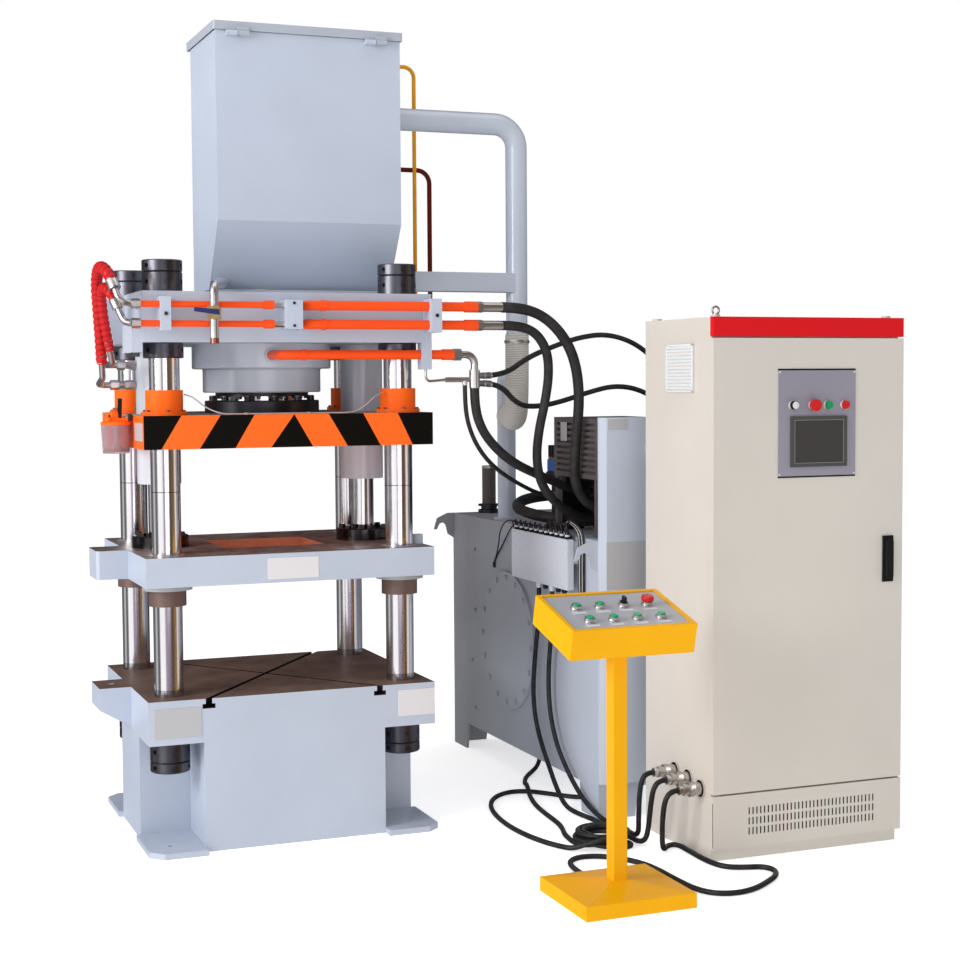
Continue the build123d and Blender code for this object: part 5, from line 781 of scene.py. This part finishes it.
COIL_MIDDLE = (960, -850)
COIL_S = [
    (868, -815), (876, -858), (908, -874), (948, -868), (988, -866), (1022, -876), (1043, -905),
    (1030, -938), (990, -952, 10),
]
COIL_END = [
    (940, -954, 46), (903, -945, 41), (864, -920, 26),
]
# Turns of the coil's two layers, in millimetres
COIL_START = math.radians(286)
COIL_STEPS = 16
LAYER_TURNS = 2
OUTER_R = 100
INNER_R = 64
LAY_PITCH = 18
LAY_HEIGHTS = (10, 27.5, 46)
# Pitches of the ribs in the red guard and the clear hose, in metres
GUARD_PITCH = 0.023
HELIX_PITCH = 0.0085
FLEX_D = 0.092


def coil_points():
    """An S into the ring, then two layers of turns over it, clockwise seen from above."""
    points = list(COIL_S)
    floor, first, second = LAY_HEIGHTS
    for step in range(1, 2 * LAYER_TURNS * COIL_STEPS):
        turns = step / COIL_STEPS
        angle = COIL_START - 2 * math.pi * turns
        if turns <= LAYER_TURNS:
            radius = OUTER_R - LAY_PITCH * turns
            height = floor + (first - floor) * min(1, turns / 0.2)
        else:
            above = turns - LAYER_TURNS
            radius = INNER_R + LAY_PITCH * max(0, above - 0.25)
            height = first + (second - first) * min(1, above / 0.25)
        x, y = COIL_MIDDLE
        points.append((x + radius * math.cos(angle), y + radius * math.sin(angle), height))
    return points + COIL_END


def make_hoses():
    """Black pressure hoses with crimped steel ferrules at the manifold."""
    look = (hose_rubber, "hose_rubber", "hanging")
    for name, route, diameter in (
        ("pressure_hose_a", HOSE_A, 0.038),
        ("pressure_hose_b", HOSE_B, 0.034),
        ("pressure_hose_c", HOSE_C, 0.034),
        ("return_loop_hose", HOSE_LOOP, 0.044),
        ("branch_hose", HOSE_BRANCH, 0.016),
    ):
        line = plain_cord(name, route, diameter, ["pressure_hoses"], *look, "stiff")
        end_sleeve(f"{name}_ferrule", line, True, 0.05, diameter / 2 + 0.003, steel)
    for name, route in (("long_hose_a", LONG_A), ("long_hose_b", LONG_B)):
        line = plain_cord(name, route, 0.02, ["long_hoses"], *look, "medium")
        end_sleeve(f"{name}_ferrule", line, True, 0.04, 0.0125, steel)
        end_sleeve(f"{name}_start_ferrule", line, False, 0.04, 0.0125, bright_steel)


def make_red_hoses():
    """Hoses in a red spiral guard, with steel ferrules at both ends."""
    # The guard is darker red in its grooves as painted shade, and lighter red on its ridges.
    guard = ribbed_material("red spiral guard", (0.36, 0.005, 0.007), (0.56, 0.008, 0.009), 0.42)
    for name, route, diameter in (("lift_hose_a", RED_A, 0.04), ("lift_hose_b", RED_B, 0.034)):

        def ridged(gone, angle, radius=diameter / 2):
            swell = (0.5 + 0.5 * math.cos(2 * math.pi * gone / GUARD_PITCH - angle)) ** 0.6
            return radius - 0.003 * (1 - swell), swell

        line = ribbed_cord(name, route, "lift_hoses", guard, 0.0035, 20, ridged)
        end_sleeve(f"{name}_top_ferrule", line, False, 0.035, diameter / 2 + 0.0012, bright_steel)
        end_sleeve(f"{name}_low_ferrule", line, True, 0.045, diameter / 2 - 0.002, bright_steel)


def make_flex_hose():
    """Clear suction hose with a steel helix in its wall."""
    wall = ribbed_material("clear wire-wound hose", (0.56, 0.54, 0.49), (0.84, 0.82, 0.78), 0.25, 0.15)

    def wound(gone, angle):
        turn = 0.5 + 0.5 * math.cos(2 * math.pi * gone / HELIX_PITCH - angle)
        return FLEX_D / 2 - 0.0012 * (1 - turn), turn ** 2

    line = ribbed_cord("flex_hose_wall", FLEX, "flex_hose", wall, 0.0021, 36, wound)
    for name, at_end in (("upper", False), ("lower", True)):
        end_sleeve(f"flex_clamp_{name}", line, at_end, 0.014, 0.0495, bright_steel, 0.025)


def make_cables():
    """Three black cables and the long one that is coiled beside the cabinet."""
    look = (cable_rubber, "cable_jacket")
    for name, route in (("console_cable", CONSOLE_CABLE), ("box_cable_a", BOX_A), ("box_cable_b", BOX_B)):
        plain_cord(name, route, CABLE_D, ["cables"], *look, "loose", "medium")
    route = COIL_IN + coil_points() + COIL_BACK
    plain_cord("coiled_cable", route, CABLE_D, ["cables", "cable_coil"], *look, "coiled", "medium")


make_hoses()
make_red_hoses()
make_flex_hose()
make_cables()


# Press details


def ring_spots(middle, radius, count, start=0.0):
    """Spots on a level circle."""
    x, y, z = middle
    angles = [start + 2 * math.pi * step / count for step in range(count)]
    return [(x + radius * math.cos(angle), y + radius * math.sin(angle), z) for angle in angles]


def make_press_details():
    """Bolts of ram, bushes, gland, bracket and clamps, and the bare plates."""
    flange = ring_spots((0, 0, SLIDER_TOP + 0.058), 0.182, 12)
    socket_bolts("ram_flange_bolts", "slider", flange, Z_AXIS, 0.0125, 0.004)
    bushes = [spot for x, y in COLUMNS for spot in ring_spots((x, y, SLIDER_TOP + 0.012), 0.0705, 6, 0.5)]
    socket_bolts("bush_bolts", "slider", bushes, Z_AXIS, 0.0055, 0.006)
    gland = ring_spots((0, 0, 1.546), 0.158, 12, 0.2)
    hex_bolts("gland_bolts", "frame", gland, -Z_AXIS, 0.007, 0.009, bolt_steel)
    bracket = [(-0.525, y, 1.698) for y in (-0.385, -0.27)]
    hex_bolts("bracket_bolts", "frame", bracket, -Z_AXIS, 0.013, 0.014, bolt_steel)
    clamps = [(-0.444, -0.496, 1.824), (0.4965, -0.51, 1.824)]
    socket_bolts("clamp_bolts", "frame", clamps, -Y_AXIS, 0.0065, 0.004)
    blocks = [(-0.012, -0.502, z) for z in (1.862, 1.786)]
    socket_bolts("block_bolts", "frame", blocks, -Y_AXIS, 0.005, 0.003)
    plate("bed_plate_left", "frame", (-0.492, -0.4195, 0.401), (-0.331, -0.4172, 0.5), label_silver)
    plate("bed_plate_right", "frame", (0.372, -0.4188, 0.412), (0.51, -0.4172, 0.505), label_white)
    plate("platen_plate", "platen", (-0.095, -0.4212, 0.922), (0.086, -0.4198, 0.995), label_white)
    plate("slider_plate_side", "slider", (-0.5112, -0.4, 1.402), (-0.5098, -0.26, 1.462), label_silver)


def make_lube_pump():
    """Tinted cup with oil, orange head with fittings and a filler cap."""
    at = Vector((-0.564, -0.2, 1.357))
    smoky = clear_material("tinted cup", (0.66, 0.5, 0.53), 0.15)
    wall = [(0.0445, 0), (0.0455, 0.004), (0.0505, 0.097), (0.0475, 0.097), (0.0425, 0.006)]
    cup = solid("lube_cup", "slider", smoky, [(turned, wall, at, Z_AXIS, 40)], 0.001)
    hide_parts("lube_pump")
    oil = clear_material("cup oil", (0.45, 0.22, 0.08), 0.1)
    fill = [(0.0425, 0.0055), (0.043, 0.0175)]
    solid("lube_oil", "slider", oil, [(turned, fill, at, Z_AXIS, 32)])
    pipe = [(0.01, 0.008), (0.01, 0.096)]
    strainer = [(0.016, 0.007), (0.016, 0.027), (0.012, 0.031)]
    suction = [(turned, shape, at, Z_AXIS, 20) for shape in (pipe, strainer)]
    solid("lube_suction", "slider", bright_steel, suction)
    rim = [(0.051, 0.097), (0.052, 0.1), (0.051, 0.107), (0.044, 0.11)]
    port = [(0.02, 0), (0.0225, 0.003), (0.0225, 0.023), (0.02, 0.026)]
    filler = [(0.012, 0), (0.012, 0.012), (0.009, 0.015)]
    solid("lube_head", "slider", bush_paint, [
        (turned, rim, at, Z_AXIS, 40),
        (block, (-0.598, -0.23, 1.465), (-0.512, -0.17, 1.478)),
        (turned, port, (-0.584, -0.2, 1.483), X_AXIS, 32),
        (turned, filler, (-0.592, -0.222, 1.466), Z_AXIS, 24),
    ], 0.0012)
    spots = [(-0.53, y, 1.478) for y in (-0.22, -0.18)]
    hex_bolts("lube_bolts", "slider", spots, Z_AXIS, 0.006, 0.008, steel)
    outlet = (block, (-0.528, -0.232, 1.466), (-0.513, -0.206, 1.492))
    solid("lube_outlet", "slider", dark_steel, [outlet], 0.002)


def make_line_clips():
    """Clips that hold the thin oil line on the slider."""
    clips = [
        (block, (x - 0.006, -0.416, SLIDER_TOP), (x + 0.006, -0.402, SLIDER_TOP + 0.0068))
        for x in (-0.16, 0.06, 0.2)
    ]
    solid("line_clips", "slider", bright_steel, clips, 0.0008)


make_press_details()
make_lube_pump()
make_line_clips()


# Power unit details

BARE_LEAD = [(-0.006, 0.012, 0.016), (-0.007, 0.017, 0.026), (-0.002, 0.024, 0.027), (0.008, 0.026, 0.012)]
WALL_LEADS = [
    [
        (1.056, 0.118, 1.031), (1.052, 0.15, 1.045), (1.04, 0.205, 1.036), (1.04, 0.262, 0.99),
        (1.068, 0.34, 0.935), (1.084, 0.405, 0.88), (1.084, 0.44, 0.84), (1.092, 0.446, 0.828),
    ],
    [
        (1.056, 0.118, 1.031), (1.058, 0.14, 1.038), (1.068, 0.19, 1.02), (1.078, 0.262, 0.985),
        (1.086, 0.34, 0.93), (1.086, 0.42, 0.868), (1.092, 0.44, 0.845),
    ],
]


def wires(name, routes, thickness, material):
    """Short thin leads between fixed ends, as one piece."""
    curve = new_curve(name, 6)
    curve.bevel_depth = thickness / 2
    curve.bevel_resolution = 2
    for route in routes:
        add_spline(curve, route)
    piece = add_object(name, curve)
    curve.materials.append(material.mat)
    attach(piece, "frame")


def looped_lead(at, step, turn):
    """A lead that rises from a gland and loops over the next ones."""
    sway = math.sin(2.4 * step + 1.7 * turn)
    rise = 0.06 if at.y < -0.2 else 0.034
    over = Vector((0, 0.03 + 0.016 * turn + 0.01 * sway, 0))
    top = Vector((0.004 * sway, 0, rise - 0.004 * turn + 0.003 * sway))
    return [
        at + Vector((0, 0, 0.022)),
        at + Vector((-0.004, 0.006 * sway, 0.028)) + top * 0.4,
        at + top + over * 0.4,
        at + top + over * 0.8,
        at + over + Vector((0.014, 0.004, 0.012)),
        at + over + Vector((0.017, 0.006, 0.0)),
    ]


def side_lead(step):
    """A lead from the box's end over its corner and down the tank's wall."""
    y = -0.4 - 0.008 * step
    return [
        (1.074, -0.25 - 0.012 * step, 1.012), (1.07, -0.262 - 0.012 * step, 1.06 + 0.004 * step),
        (1.074, -0.345 - 0.01 * step, 1.07), (1.081, y, 1.04), (1.085, y - 0.002, 0.985),
        (1.084, y + 0.002 * math.sin(3 * step), 0.9), (1.085, y, 0.82), (1.084, y, 0.775),
        (1.092, y, 0.762),
    ]


def make_terminal_box():
    """Cable glands, the leads looped over them and the bundle beside the box."""
    spots = [Vector((1.056, -0.362 + 0.048 * step, 1.01)) for step in range(11)]
    glands = []
    for at in spots:
        beside = at + Vector((0.018, 0.022, -0.002))
        glands += [
            (turned, [(0.0105, 0), (0.0105, 0.009)], at, Z_AXIS, 6),
            (turned, [(0.0085, 0.009), (0.0085, 0.024), (0.005, 0.03)], at, Z_AXIS, 12),
            (turned, [(0.0095, 0), (0.0095, 0.012), (0.006, 0.017)], beside, Z_AXIS, 8),
        ]
    solid("terminal_glands", "frame", black_plastic, glands)
    leads = [looped_lead(at, step, turn) for step, at in enumerate(spots) for turn in range(3)]
    wires("terminal_leads", leads, 0.005, cable_rubber)
    bare = [[at + Vector(shift) for shift in BARE_LEAD] for at in spots]
    wires("terminal_bare_leads", bare, 0.0032, steel)
    pale = (1, 4)
    wires("side_leads", [side_lead(step) for step in range(7) if step not in pale], 0.0055, cable_rubber)
    pale_plastic = plastic("pale lead", (0.52, 0.5, 0.5), 0.4)
    wires("side_leads_pale", [side_lead(step) for step in pale], 0.005, pale_plastic)
    wires("wall_leads", WALL_LEADS, 0.0055, cable_rubber)
    solid("wall_grommets", "frame", black_plastic, [
        (turned, [(radius, 0), (radius, 0.003), (0.01, 0.005)], (OIL_LEFT, y, z), -X_AXIS, 24)
        for y, z, radius in ((-0.424, 0.762, 0.034), (0.443, 0.836, 0.014))
    ])
    low_gland = [(0.011, 0), (0.011, 0.01), (0.008, 0.018)]
    low_spots = [(1.056, y, 0.822) for y in (-0.16, -0.28, -0.335)]
    solid("low_glands", "frame", black_plastic, spun(low_gland, low_spots, -Z_AXIS, 12))
    bolts = [(OIL_LEFT - 0.0005, y, z) for y, z in ((0.66, 0.88), (0.66, 0.62), (0.7, 0.4), (0.66, 0.2))]
    hex_bolts("tank_side_bolts", "frame", bolts, -X_AXIS, 0.0065, 0.007, steel)


def make_valves():
    """Solenoid valve with its socket, the manifold's adapters and the bare plates."""
    at = Vector((1.225, 0.0035, 1.258))
    body = (block, (1.1935, 0.0035, 1.2335), (1.2565, 0.1365, 1.2835))
    solid("solenoid_body", "frame", blue_plastic, [body], 0.004)
    tube = [(0.0225, 0), (0.0245, 0.003), (0.0245, 0.052), (0.02, 0.056), (0.02, 0.06)]
    solid("solenoid_tube", "frame", bright_steel, [(turned, tube, at, -Y_AXIS, 32)])
    cap = [(0.0255, 0.058), (0.027, 0.06), (0.027, 0.07), (0.024, 0.072)]
    fins = [0.006 + 0.0165 * step for step in range(8)]
    solid("relay_block", "frame", black_plastic, [
        (turned, cap, at, -Y_AXIS, 32),
        (block, (1.1985, 0.0045, 1.292), (1.2515, 0.1355, 1.3345)),
        *[(block, (1.1965, y, 1.3), (1.2535, y + 0.009, 1.3395)) for y in fins],
    ], 0.0012)
    screws = [0.014 + 0.025 * step for step in range(5)]
    solid("socket_screws", "frame", brass, [
        (block, (1.1955, y, 1.2825), (1.2545, y + 0.012, 1.2925)) for y in screws
    ], 0.001)
    nut = [(0.026, -0.018), (0.026, -0.002), (0.022, 0)]
    ports = [Vector(spot) / 1000 for spot in (HOSE_A[-1], HOSE_B[-1], HOSE_C[-1], HOSE_LOOP[0])]
    solid("manifold_adapters", "frame", steel, spun(nut, ports, X_AXIS, 6))
    plate("cooler_plate", "frame", (1.124, -0.208, 1.367), (1.1262, -0.153, 1.438), label_silver)
    plate("panel_plate_low", "frame", (1.112, -0.5782, 0.842), (1.283, -0.5768, 1.014), label_silver)
    plate("panel_plate_top", "frame", (1.119, -0.5782, 1.418), (1.199, -0.5768, 1.456), label_silver)


def make_breather():
    """Ribbed filter housing over its flange."""
    at = Vector((1.236, 0.866, OIL_TOP))
    flange = [
        (0.048, 0), (0.048, 0.012), (0.035, 0.016), (0.035, 0.03), (0.048, 0.032), (0.048, 0.038),
        (0.029, 0.04),
    ]
    solid("breather_flange", "frame", dark_steel, [(turned, flange, at, Z_AXIS, 40)])
    ribs = [(0.0293, 0.038)]
    for step in range(26):
        height = 0.04 + 0.006 * step
        ribs += [(0.0302, height), (0.0302, height + 0.0042), (0.0293, height + 0.0048)]
    ribs.append((0.0293, 0.2))
    brown = paint("breather paint", (0.1, 0.082, 0.074), 0.45)
    solid("breather_body", "frame", brown, [(turned, ribs, at, Z_AXIS, 40)])
    cap = [(0.0308, 0.196), (0.0308, 0.2055), (0.028, 0.2065)]
    solid("breather_cap", "frame", steel, [(turned, cap, at, Z_AXIS, 40)])


def make_gauge():
    """Dial gauge: chrome ring, white dial with ticks and a needle, under glass."""
    at = Vector((1.304, -0.599, 1.346))
    ring = [(0.036, -0.022), (0.0365, -0.006), (0.0365, 0.0), (0.031, 0.001), (0.03, -0.003)]
    solid("gauge_ring", "frame", bright_steel, [(turned, ring, at, -Y_AXIS, 48)])
    dial = [(0.03, -0.0022), (0.0298, -0.0016)]
    solid("gauge_dial", "frame", white_plastic, [(turned, dial, at, -Y_AXIS, 48)])
    marks = []
    for step in range(11):
        angle = math.radians(225 - 27 * step)
        spot = at + Vector((0.025 * math.cos(angle), 0.0009, 0.025 * math.sin(angle)))
        marks.append((slab, spot, (0.003, 0.0003, 0.0006), Matrix.Rotation(-angle, 3, "Y")))
    needle = Matrix.Rotation(-math.radians(200), 3, "Y")
    marks.append((slab, at + Y_AXIS * 0.0008, (0.014, 0.0004, 0.0008), needle))
    solid("gauge_marks", "frame", black_plastic, marks)


make_terminal_box()
make_valves()
make_breather()
make_gauge()


# Cabinet details


def make_cabinet_details():
    """Louvered vent on the cabinet's side and the eye bolt on its roof."""
    pale = plastic("louver white", (0.76, 0.78, 0.8), 0.35)
    lean = Matrix.Rotation(math.radians(28), 3, "Y")
    heights = [1.562 + 0.0115 * step for step in range(13)]
    solid("louver_blades", "frame", pale, [
        (block, (CAB_LEFT - 0.0075, -1.066, z), (CAB_LEFT - 0.0045, -0.888, z + 0.01), lean) for z in heights
    ])
    bars = (
        (-1.072, 1.553, -0.882, 1.56), (-1.072, 1.708, -0.882, 1.715),
        (-1.072, 1.553, -1.065, 1.715), (-0.889, 1.553, -0.882, 1.715),
    )
    solid("louver_frame", "frame", pale, [
        (block, (CAB_LEFT - 0.009, y, z), (CAB_LEFT - 0.0058, far_y, far_z)) for y, z, far_y, far_z in bars
    ], 0.001)
    at = Vector((1.232, -1.155, 1.8))
    foot = [(0.011, 0), (0.011, 0.012)]
    solid("eye_bolt_foot", "frame", steel, [(turned, foot, at, Z_AXIS, 24)])
    eye = new_curve("eye_bolt", 12)
    eye.bevel_depth = 0.0035
    ring = eye.splines.new("NURBS")
    ring.points.add(11)
    for step, held in enumerate(ring.points):
        angle = 2 * math.pi * step / 12
        held.co = (at.x + 0.013 * math.cos(angle), at.y, at.z + 0.022 + 0.013 * math.sin(angle), 1)
    ring.use_cyclic_u = True
    piece = add_object("eye_bolt_ring", eye)
    eye.materials.append(steel.mat)
    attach(piece, "frame")


def screen_rim(name, outer, bar, depths, material):
    """Four bars round the screen, from half the outer size and half a bar's widths."""
    x, z = SCREEN_MIDDLE
    wide, tall = outer
    side, cap = bar
    y, half = sum(depths) / 2, (depths[1] - depths[0]) / 2
    shapes = []
    for sign in (-1, 1):
        shapes.append((slab, (x, y, z + sign * (tall - cap)), (wide, half, cap)))
        shapes.append((slab, (x + sign * (wide - side), y, z), (side, half, tall - 2 * cap)))
    solid(name, "door", material, shapes)


def make_door_details():
    """Metal control plate, framed touch screen and the bezels round the controls."""
    grey = paint("panel plate grey", (0.29, 0.275, 0.335), 0.45, 0.03)
    plate("control_plate", "door", (1.434, -1.2146, 1.274), (1.734, -1.2112, 1.624), grey, 0.001)
    frame_grey = plastic("screen frame grey", (0.075, 0.075, 0.073), 0.4)
    screen_rim("screen_frame", (0.109, 0.084), (0.008, 0.007), (-1.2215, -1.214), frame_grey)
    line_grey = plastic("screen line grey", (0.27, 0.27, 0.26), 0.4)
    screen_rim("screen_line", (0.095, 0.072), (0.00075, 0.00075), (-1.222, -1.2202), line_grey)
    # Thin black strips along the control plate's top and bottom edges.
    solid("plate_edge_strips", "door", black_plastic, [
        (block, (1.434, -1.2135, z - 0.0025), (1.734, -1.2108, z + 0.0025)) for z in (1.271, 1.627)
    ])
    pin = [(0.0032, 0), (0.0032, 0.001), (0.002, 0.0018)]
    corners = [(x, -1.2144, z) for x in (1.4395, 1.7285) for z in (1.2795, 1.6185)]
    solid("plate_pins", "door", white_plastic, spun(pin, corners, -Y_AXIS, 16))
    glass = Shader("screen glass", (0.055, 0.052, 0.055), 0.12, Coat_Weight=0.6)
    glass.put(Roughness=glass.linear(glass.noise(90, 3), 0.05, 0.1))
    plate("screen_glass", "door", (1.494, -1.2206, 1.316), (1.682, -1.2146, 1.46), glass, 0.0)
    bezel = [(0.0185, 0), (0.0185, 0.003), (0.015, 0.0058), (0.0142, 0.0058), (0.0142, 0)]
    controls = [(x, -1.2141, CONTROL_Z) for x in (KEY_X, 1.567, 1.625, 1.69)]
    solid("control_bezels", "door", bright_steel, spun(bezel, controls, -Y_AXIS, 32))
    solid("key_slot", "key", white_plastic, [
        (turned, [(0.0125, 0), (0.012, 0.0012)], (KEY_X, -1.2328, CONTROL_Z), -Y_AXIS, 24),
        (slab, (KEY_X, -1.23435, CONTROL_Z), (0.0015, 0.00085, 0.011)),
    ])
    screw = [(0.0085, 0), (0.0085, 0.002), (0.006, 0.003)]
    screws = [(1.866, -1.217, z) for z in (0.925, 1.04)]
    solid("handle_screws", "door", steel, spun(screw, screws, -Y_AXIS, 20))
    plate("handle_surround", "door", (1.844, -1.2175, 0.904), (1.888, -1.2116, 1.062), black_plastic, 0.002)


def make_connectors():
    """Knurled rings on the cabinet's three cable connectors."""
    ring = [(0.0225, 0.032)]
    for step in range(7):
        ring += [(0.0245, 0.033 + 0.0024 * step), (0.0232, 0.0342 + 0.0024 * step)]
    ring.append((0.0225, 0.0505))
    collar = [(0.0285, 0.0002), (0.0285, 0.008)]
    nut = [(0.0155, 0.073), (0.0162, 0.074), (0.0162, 0.087), (0.0135, 0.0878)]
    solid("connector_rings", "frame", bright_steel, [
        (turned, shape, (CAB_LEFT, y, z), -X_AXIS, sides)
        for y, z in CONNECTORS for shape, sides in ((collar, 32), (ring, 36), (nut, 12))
    ])


make_cabinet_details()
make_door_details()
make_connectors()

# Console details
TILT = math.radians(15.3)
TILTED = Matrix.Rotation(TILT, 3, "X")
ALONG = Vector((0, math.cos(TILT), math.sin(TILT)))
PANEL_UP = Vector((0, -math.sin(TILT), math.cos(TILT)))
PANEL_MID = Vector((0.734, -1.567, 0.86)) + ALONG * 0.1435 - PANEL_UP * 0.005
PANEL_SPOTS = [(u * 0.08, v) for v in (-0.07, 0.03) for u in (-1.5, -0.5, 0.5, 1.5)]
PUSH_BUTTONS = 6
MUSHROOM = 7


def on_panel(u, v, w):
    return PANEL_MID + X_AXIS * u + ALONG * v + PANEL_UP * w


def make_console_details():
    """Grey panel face, chrome bezels, green lenses and bare label strips."""
    face = paint("panel grey", (0.42, 0.43, 0.47), 0.35, 0.03)
    solid("panel_face", "frame", face, [
        (slab, on_panel(0, 0, 0.0004), (0.1925, 0.129, 0.0004), TILTED)
    ])
    bezels = []
    for number, spot in enumerate(PANEL_SPOTS):
        # The mushroom button's ring is lower, so that its pressed cap clears it
        top = 0.0108 if number == MUSHROOM else 0.0132
        outside = [(0.0185, 0), (0.0185, 0.003), (0.0165, 0.006), (0.0163, top)]
        inside = [(0.0128, top + 0.0002), (0.0126, 0.008)]
        bezels.append((turned, outside + inside, on_panel(*spot, 0.0008), PANEL_UP, 36))
    solid("button_bezels", "frame", bright_steel, bezels)
    lens = plastic("lens green", (0.03, 0.42, 0.2), 0.2)
    cap = [(0.0112, 0), (0.0112, 0.0006), (0.01, 0.0014)]
    for number, spot in enumerate(PANEL_SPOTS[:PUSH_BUTTONS], 1):
        shape = (turned, cap, on_panel(*spot, 0.0169), PANEL_UP, 32)
        solid(f"button_face_{number}", f"button_{number}", lens, [shape])
    solid("panel_labels", "frame", label_white, [
        (slab, on_panel(u, v - 0.032, 0.0011), (0.02, 0.006, 0.0003), TILTED) for u, v in PANEL_SPOTS
    ])
    screw = [(0.004, 0), (0.004, 0.001), (0.0025, 0.0018)]
    corners = [on_panel(u, v, 0.0008) for u in (-0.185, 0.185) for v in (-0.12, 0.12)]
    solid("panel_screws", "frame", bright_steel, spun(screw, corners, PANEL_UP, 16))


make_console_details()


# Floor, light and camera

# Place of each band round the horizon, from the front by way of the left, and its light
BANDS = [
    (0.0, (0.18, 0.13, 0.166)), (0.03, (0.252, 0.202, 0.274)), (0.085, (0.396, 0.346, 0.446)),
    (0.095, (1.08, 1.08, 1.08)), (0.205, (1.08, 1.08, 1.08)), (0.22, (0.144, 0.144, 0.151)),
    (0.28, (0.122, 0.122, 0.13)), (0.29, (0.576, 0.576, 0.576)), (0.335, (0.576, 0.576, 0.576)),
    (0.35, (0.158, 0.158, 0.158)), (0.5, (0.115, 0.115, 0.115)), (0.56, (0.014, 0.014, 0.025)),
    (0.66, (0.022, 0.022, 0.032)), (0.69, (0.122, 0.122, 0.144)), (0.79, (0.137, 0.137, 0.158)),
    (0.8, (0.792, 0.684, 0.576)), (0.83, (0.792, 0.684, 0.576)), (0.845, (0.202, 0.13, 0.058)),
    (0.905, (0.158, 0.101, 0.05)), (0.925, (0.086, 0.061, 0.05)), (0.955, (0.101, 0.072, 0.065)),
    (1.0, (0.18, 0.13, 0.166)),
]


def make_stage():
    """A white floor that keeps the object's shadow and that metal doesn't mirror."""
    bpy.ops.mesh.primitive_plane_add(size=60, location=(0.6, 0, -0.0005))
    floor = bpy.context.object
    floor.name = "floor"
    made = Shader("studio floor", (0.9, 0.9, 0.9), 0.9, Specular_IOR_Level=0.05, Emission_Color=(1, 1, 1))
    path = made.add("ShaderNodeLightPath").outputs
    made.put(Emission_Strength=made.linear(path["Is Camera Ray"], 0.14, 0.42))
    clear = made.add("ShaderNodeBsdfTransparent").outputs[0]
    surface = made.choose(path["Is Glossy Ray"], made.main.outputs[0], clear)
    made.set(made.tree.nodes["Material Output"], 0, surface)
    floor.data.materials.append(made.mat)


def make_world():
    """White backdrop; metal sees soft boxes with darker gaps between them."""
    world = bpy.data.worlds.new("studio")
    bpy.context.scene.world = world
    world.use_nodes = True
    world.node_tree.nodes.clear()
    made = Nodes(world.node_tree)

    def light(color, strength=1.0):
        return made.add("ShaderNodeBackground", {"Color": color, "Strength": strength}).outputs[0]

    where = made.add("ShaderNodeTexCoord").outputs["Generated"]
    x, y = made.add("ShaderNodeSeparateXYZ", {0: where}).outputs[:2]
    bands = made.add("ShaderNodeValToRGB", {0: made.ramp(made.math("ARCTAN2", x, y), -math.pi, math.pi)})
    stops = bands.color_ramp.elements
    stops[0].color = (*BANDS[0][1], 1)
    stops[1].color = (*BANDS[-1][1], 1)
    for place, value in BANDS[1:-1]:
        stops.new(place).color = (*value, 1)
    path = made.add("ShaderNodeLightPath").outputs
    lit = made.choose(path["Is Glossy Ray"], light((0.97, 0.985, 1.0), 0.54), light(bands.outputs[0]))
    seen = made.math("MAXIMUM", path["Is Camera Ray"], path["Is Transmission Ray"])
    made.add("ShaderNodeOutputWorld", {0: made.choose(seen, lit, light((1, 1, 1)))})


def area_light(name, at, towards, size, power):
    """A soft box that faces a point."""
    data = bpy.data.lights.new(name, "AREA")
    data.shape = "RECTANGLE"
    data.size, data.size_y = size
    data.energy = power
    light = add_object(name, data)
    light.location = at
    light.rotation_euler = (Vector(towards) - Vector(at)).to_track_quat("-Z", "Y").to_euler()


def make_camera():
    """The camera that took the photograph, turned by its three angles."""
    data = bpy.data.cameras.new("camera")
    data.lens = CAMERA_LENS
    data.sensor_width = 36
    data.clip_end = 100
    camera = add_object("camera", data)
    yaw = Matrix.Rotation(-CAMERA_YAW, 4, "Z")
    pitch = Matrix.Rotation(math.pi / 2 + CAMERA_PITCH, 4, "X")
    roll = Matrix.Rotation(CAMERA_ROLL, 4, "Z")
    camera.matrix_world = Matrix.Translation(CAMERA_AT) @ yaw @ pitch @ roll
    bpy.context.scene.camera = camera


make_stage()
make_world()
area_light("key", (-6.0, -2.4, 3.4), (0.4, 0, 1.2), (3.0, 3.0), 310)
area_light("front", (-0.6, -7.2, 1.2), (0.4, 0, 1.3), (3.5, 2.0), 43)
area_light("top", (0.6, -0.8, 5.6), (0.6, -0.4, 0.8), (4.0, 3.0), 40)
make_camera()
bpy.context.scene.view_settings.view_transform = "Standard"
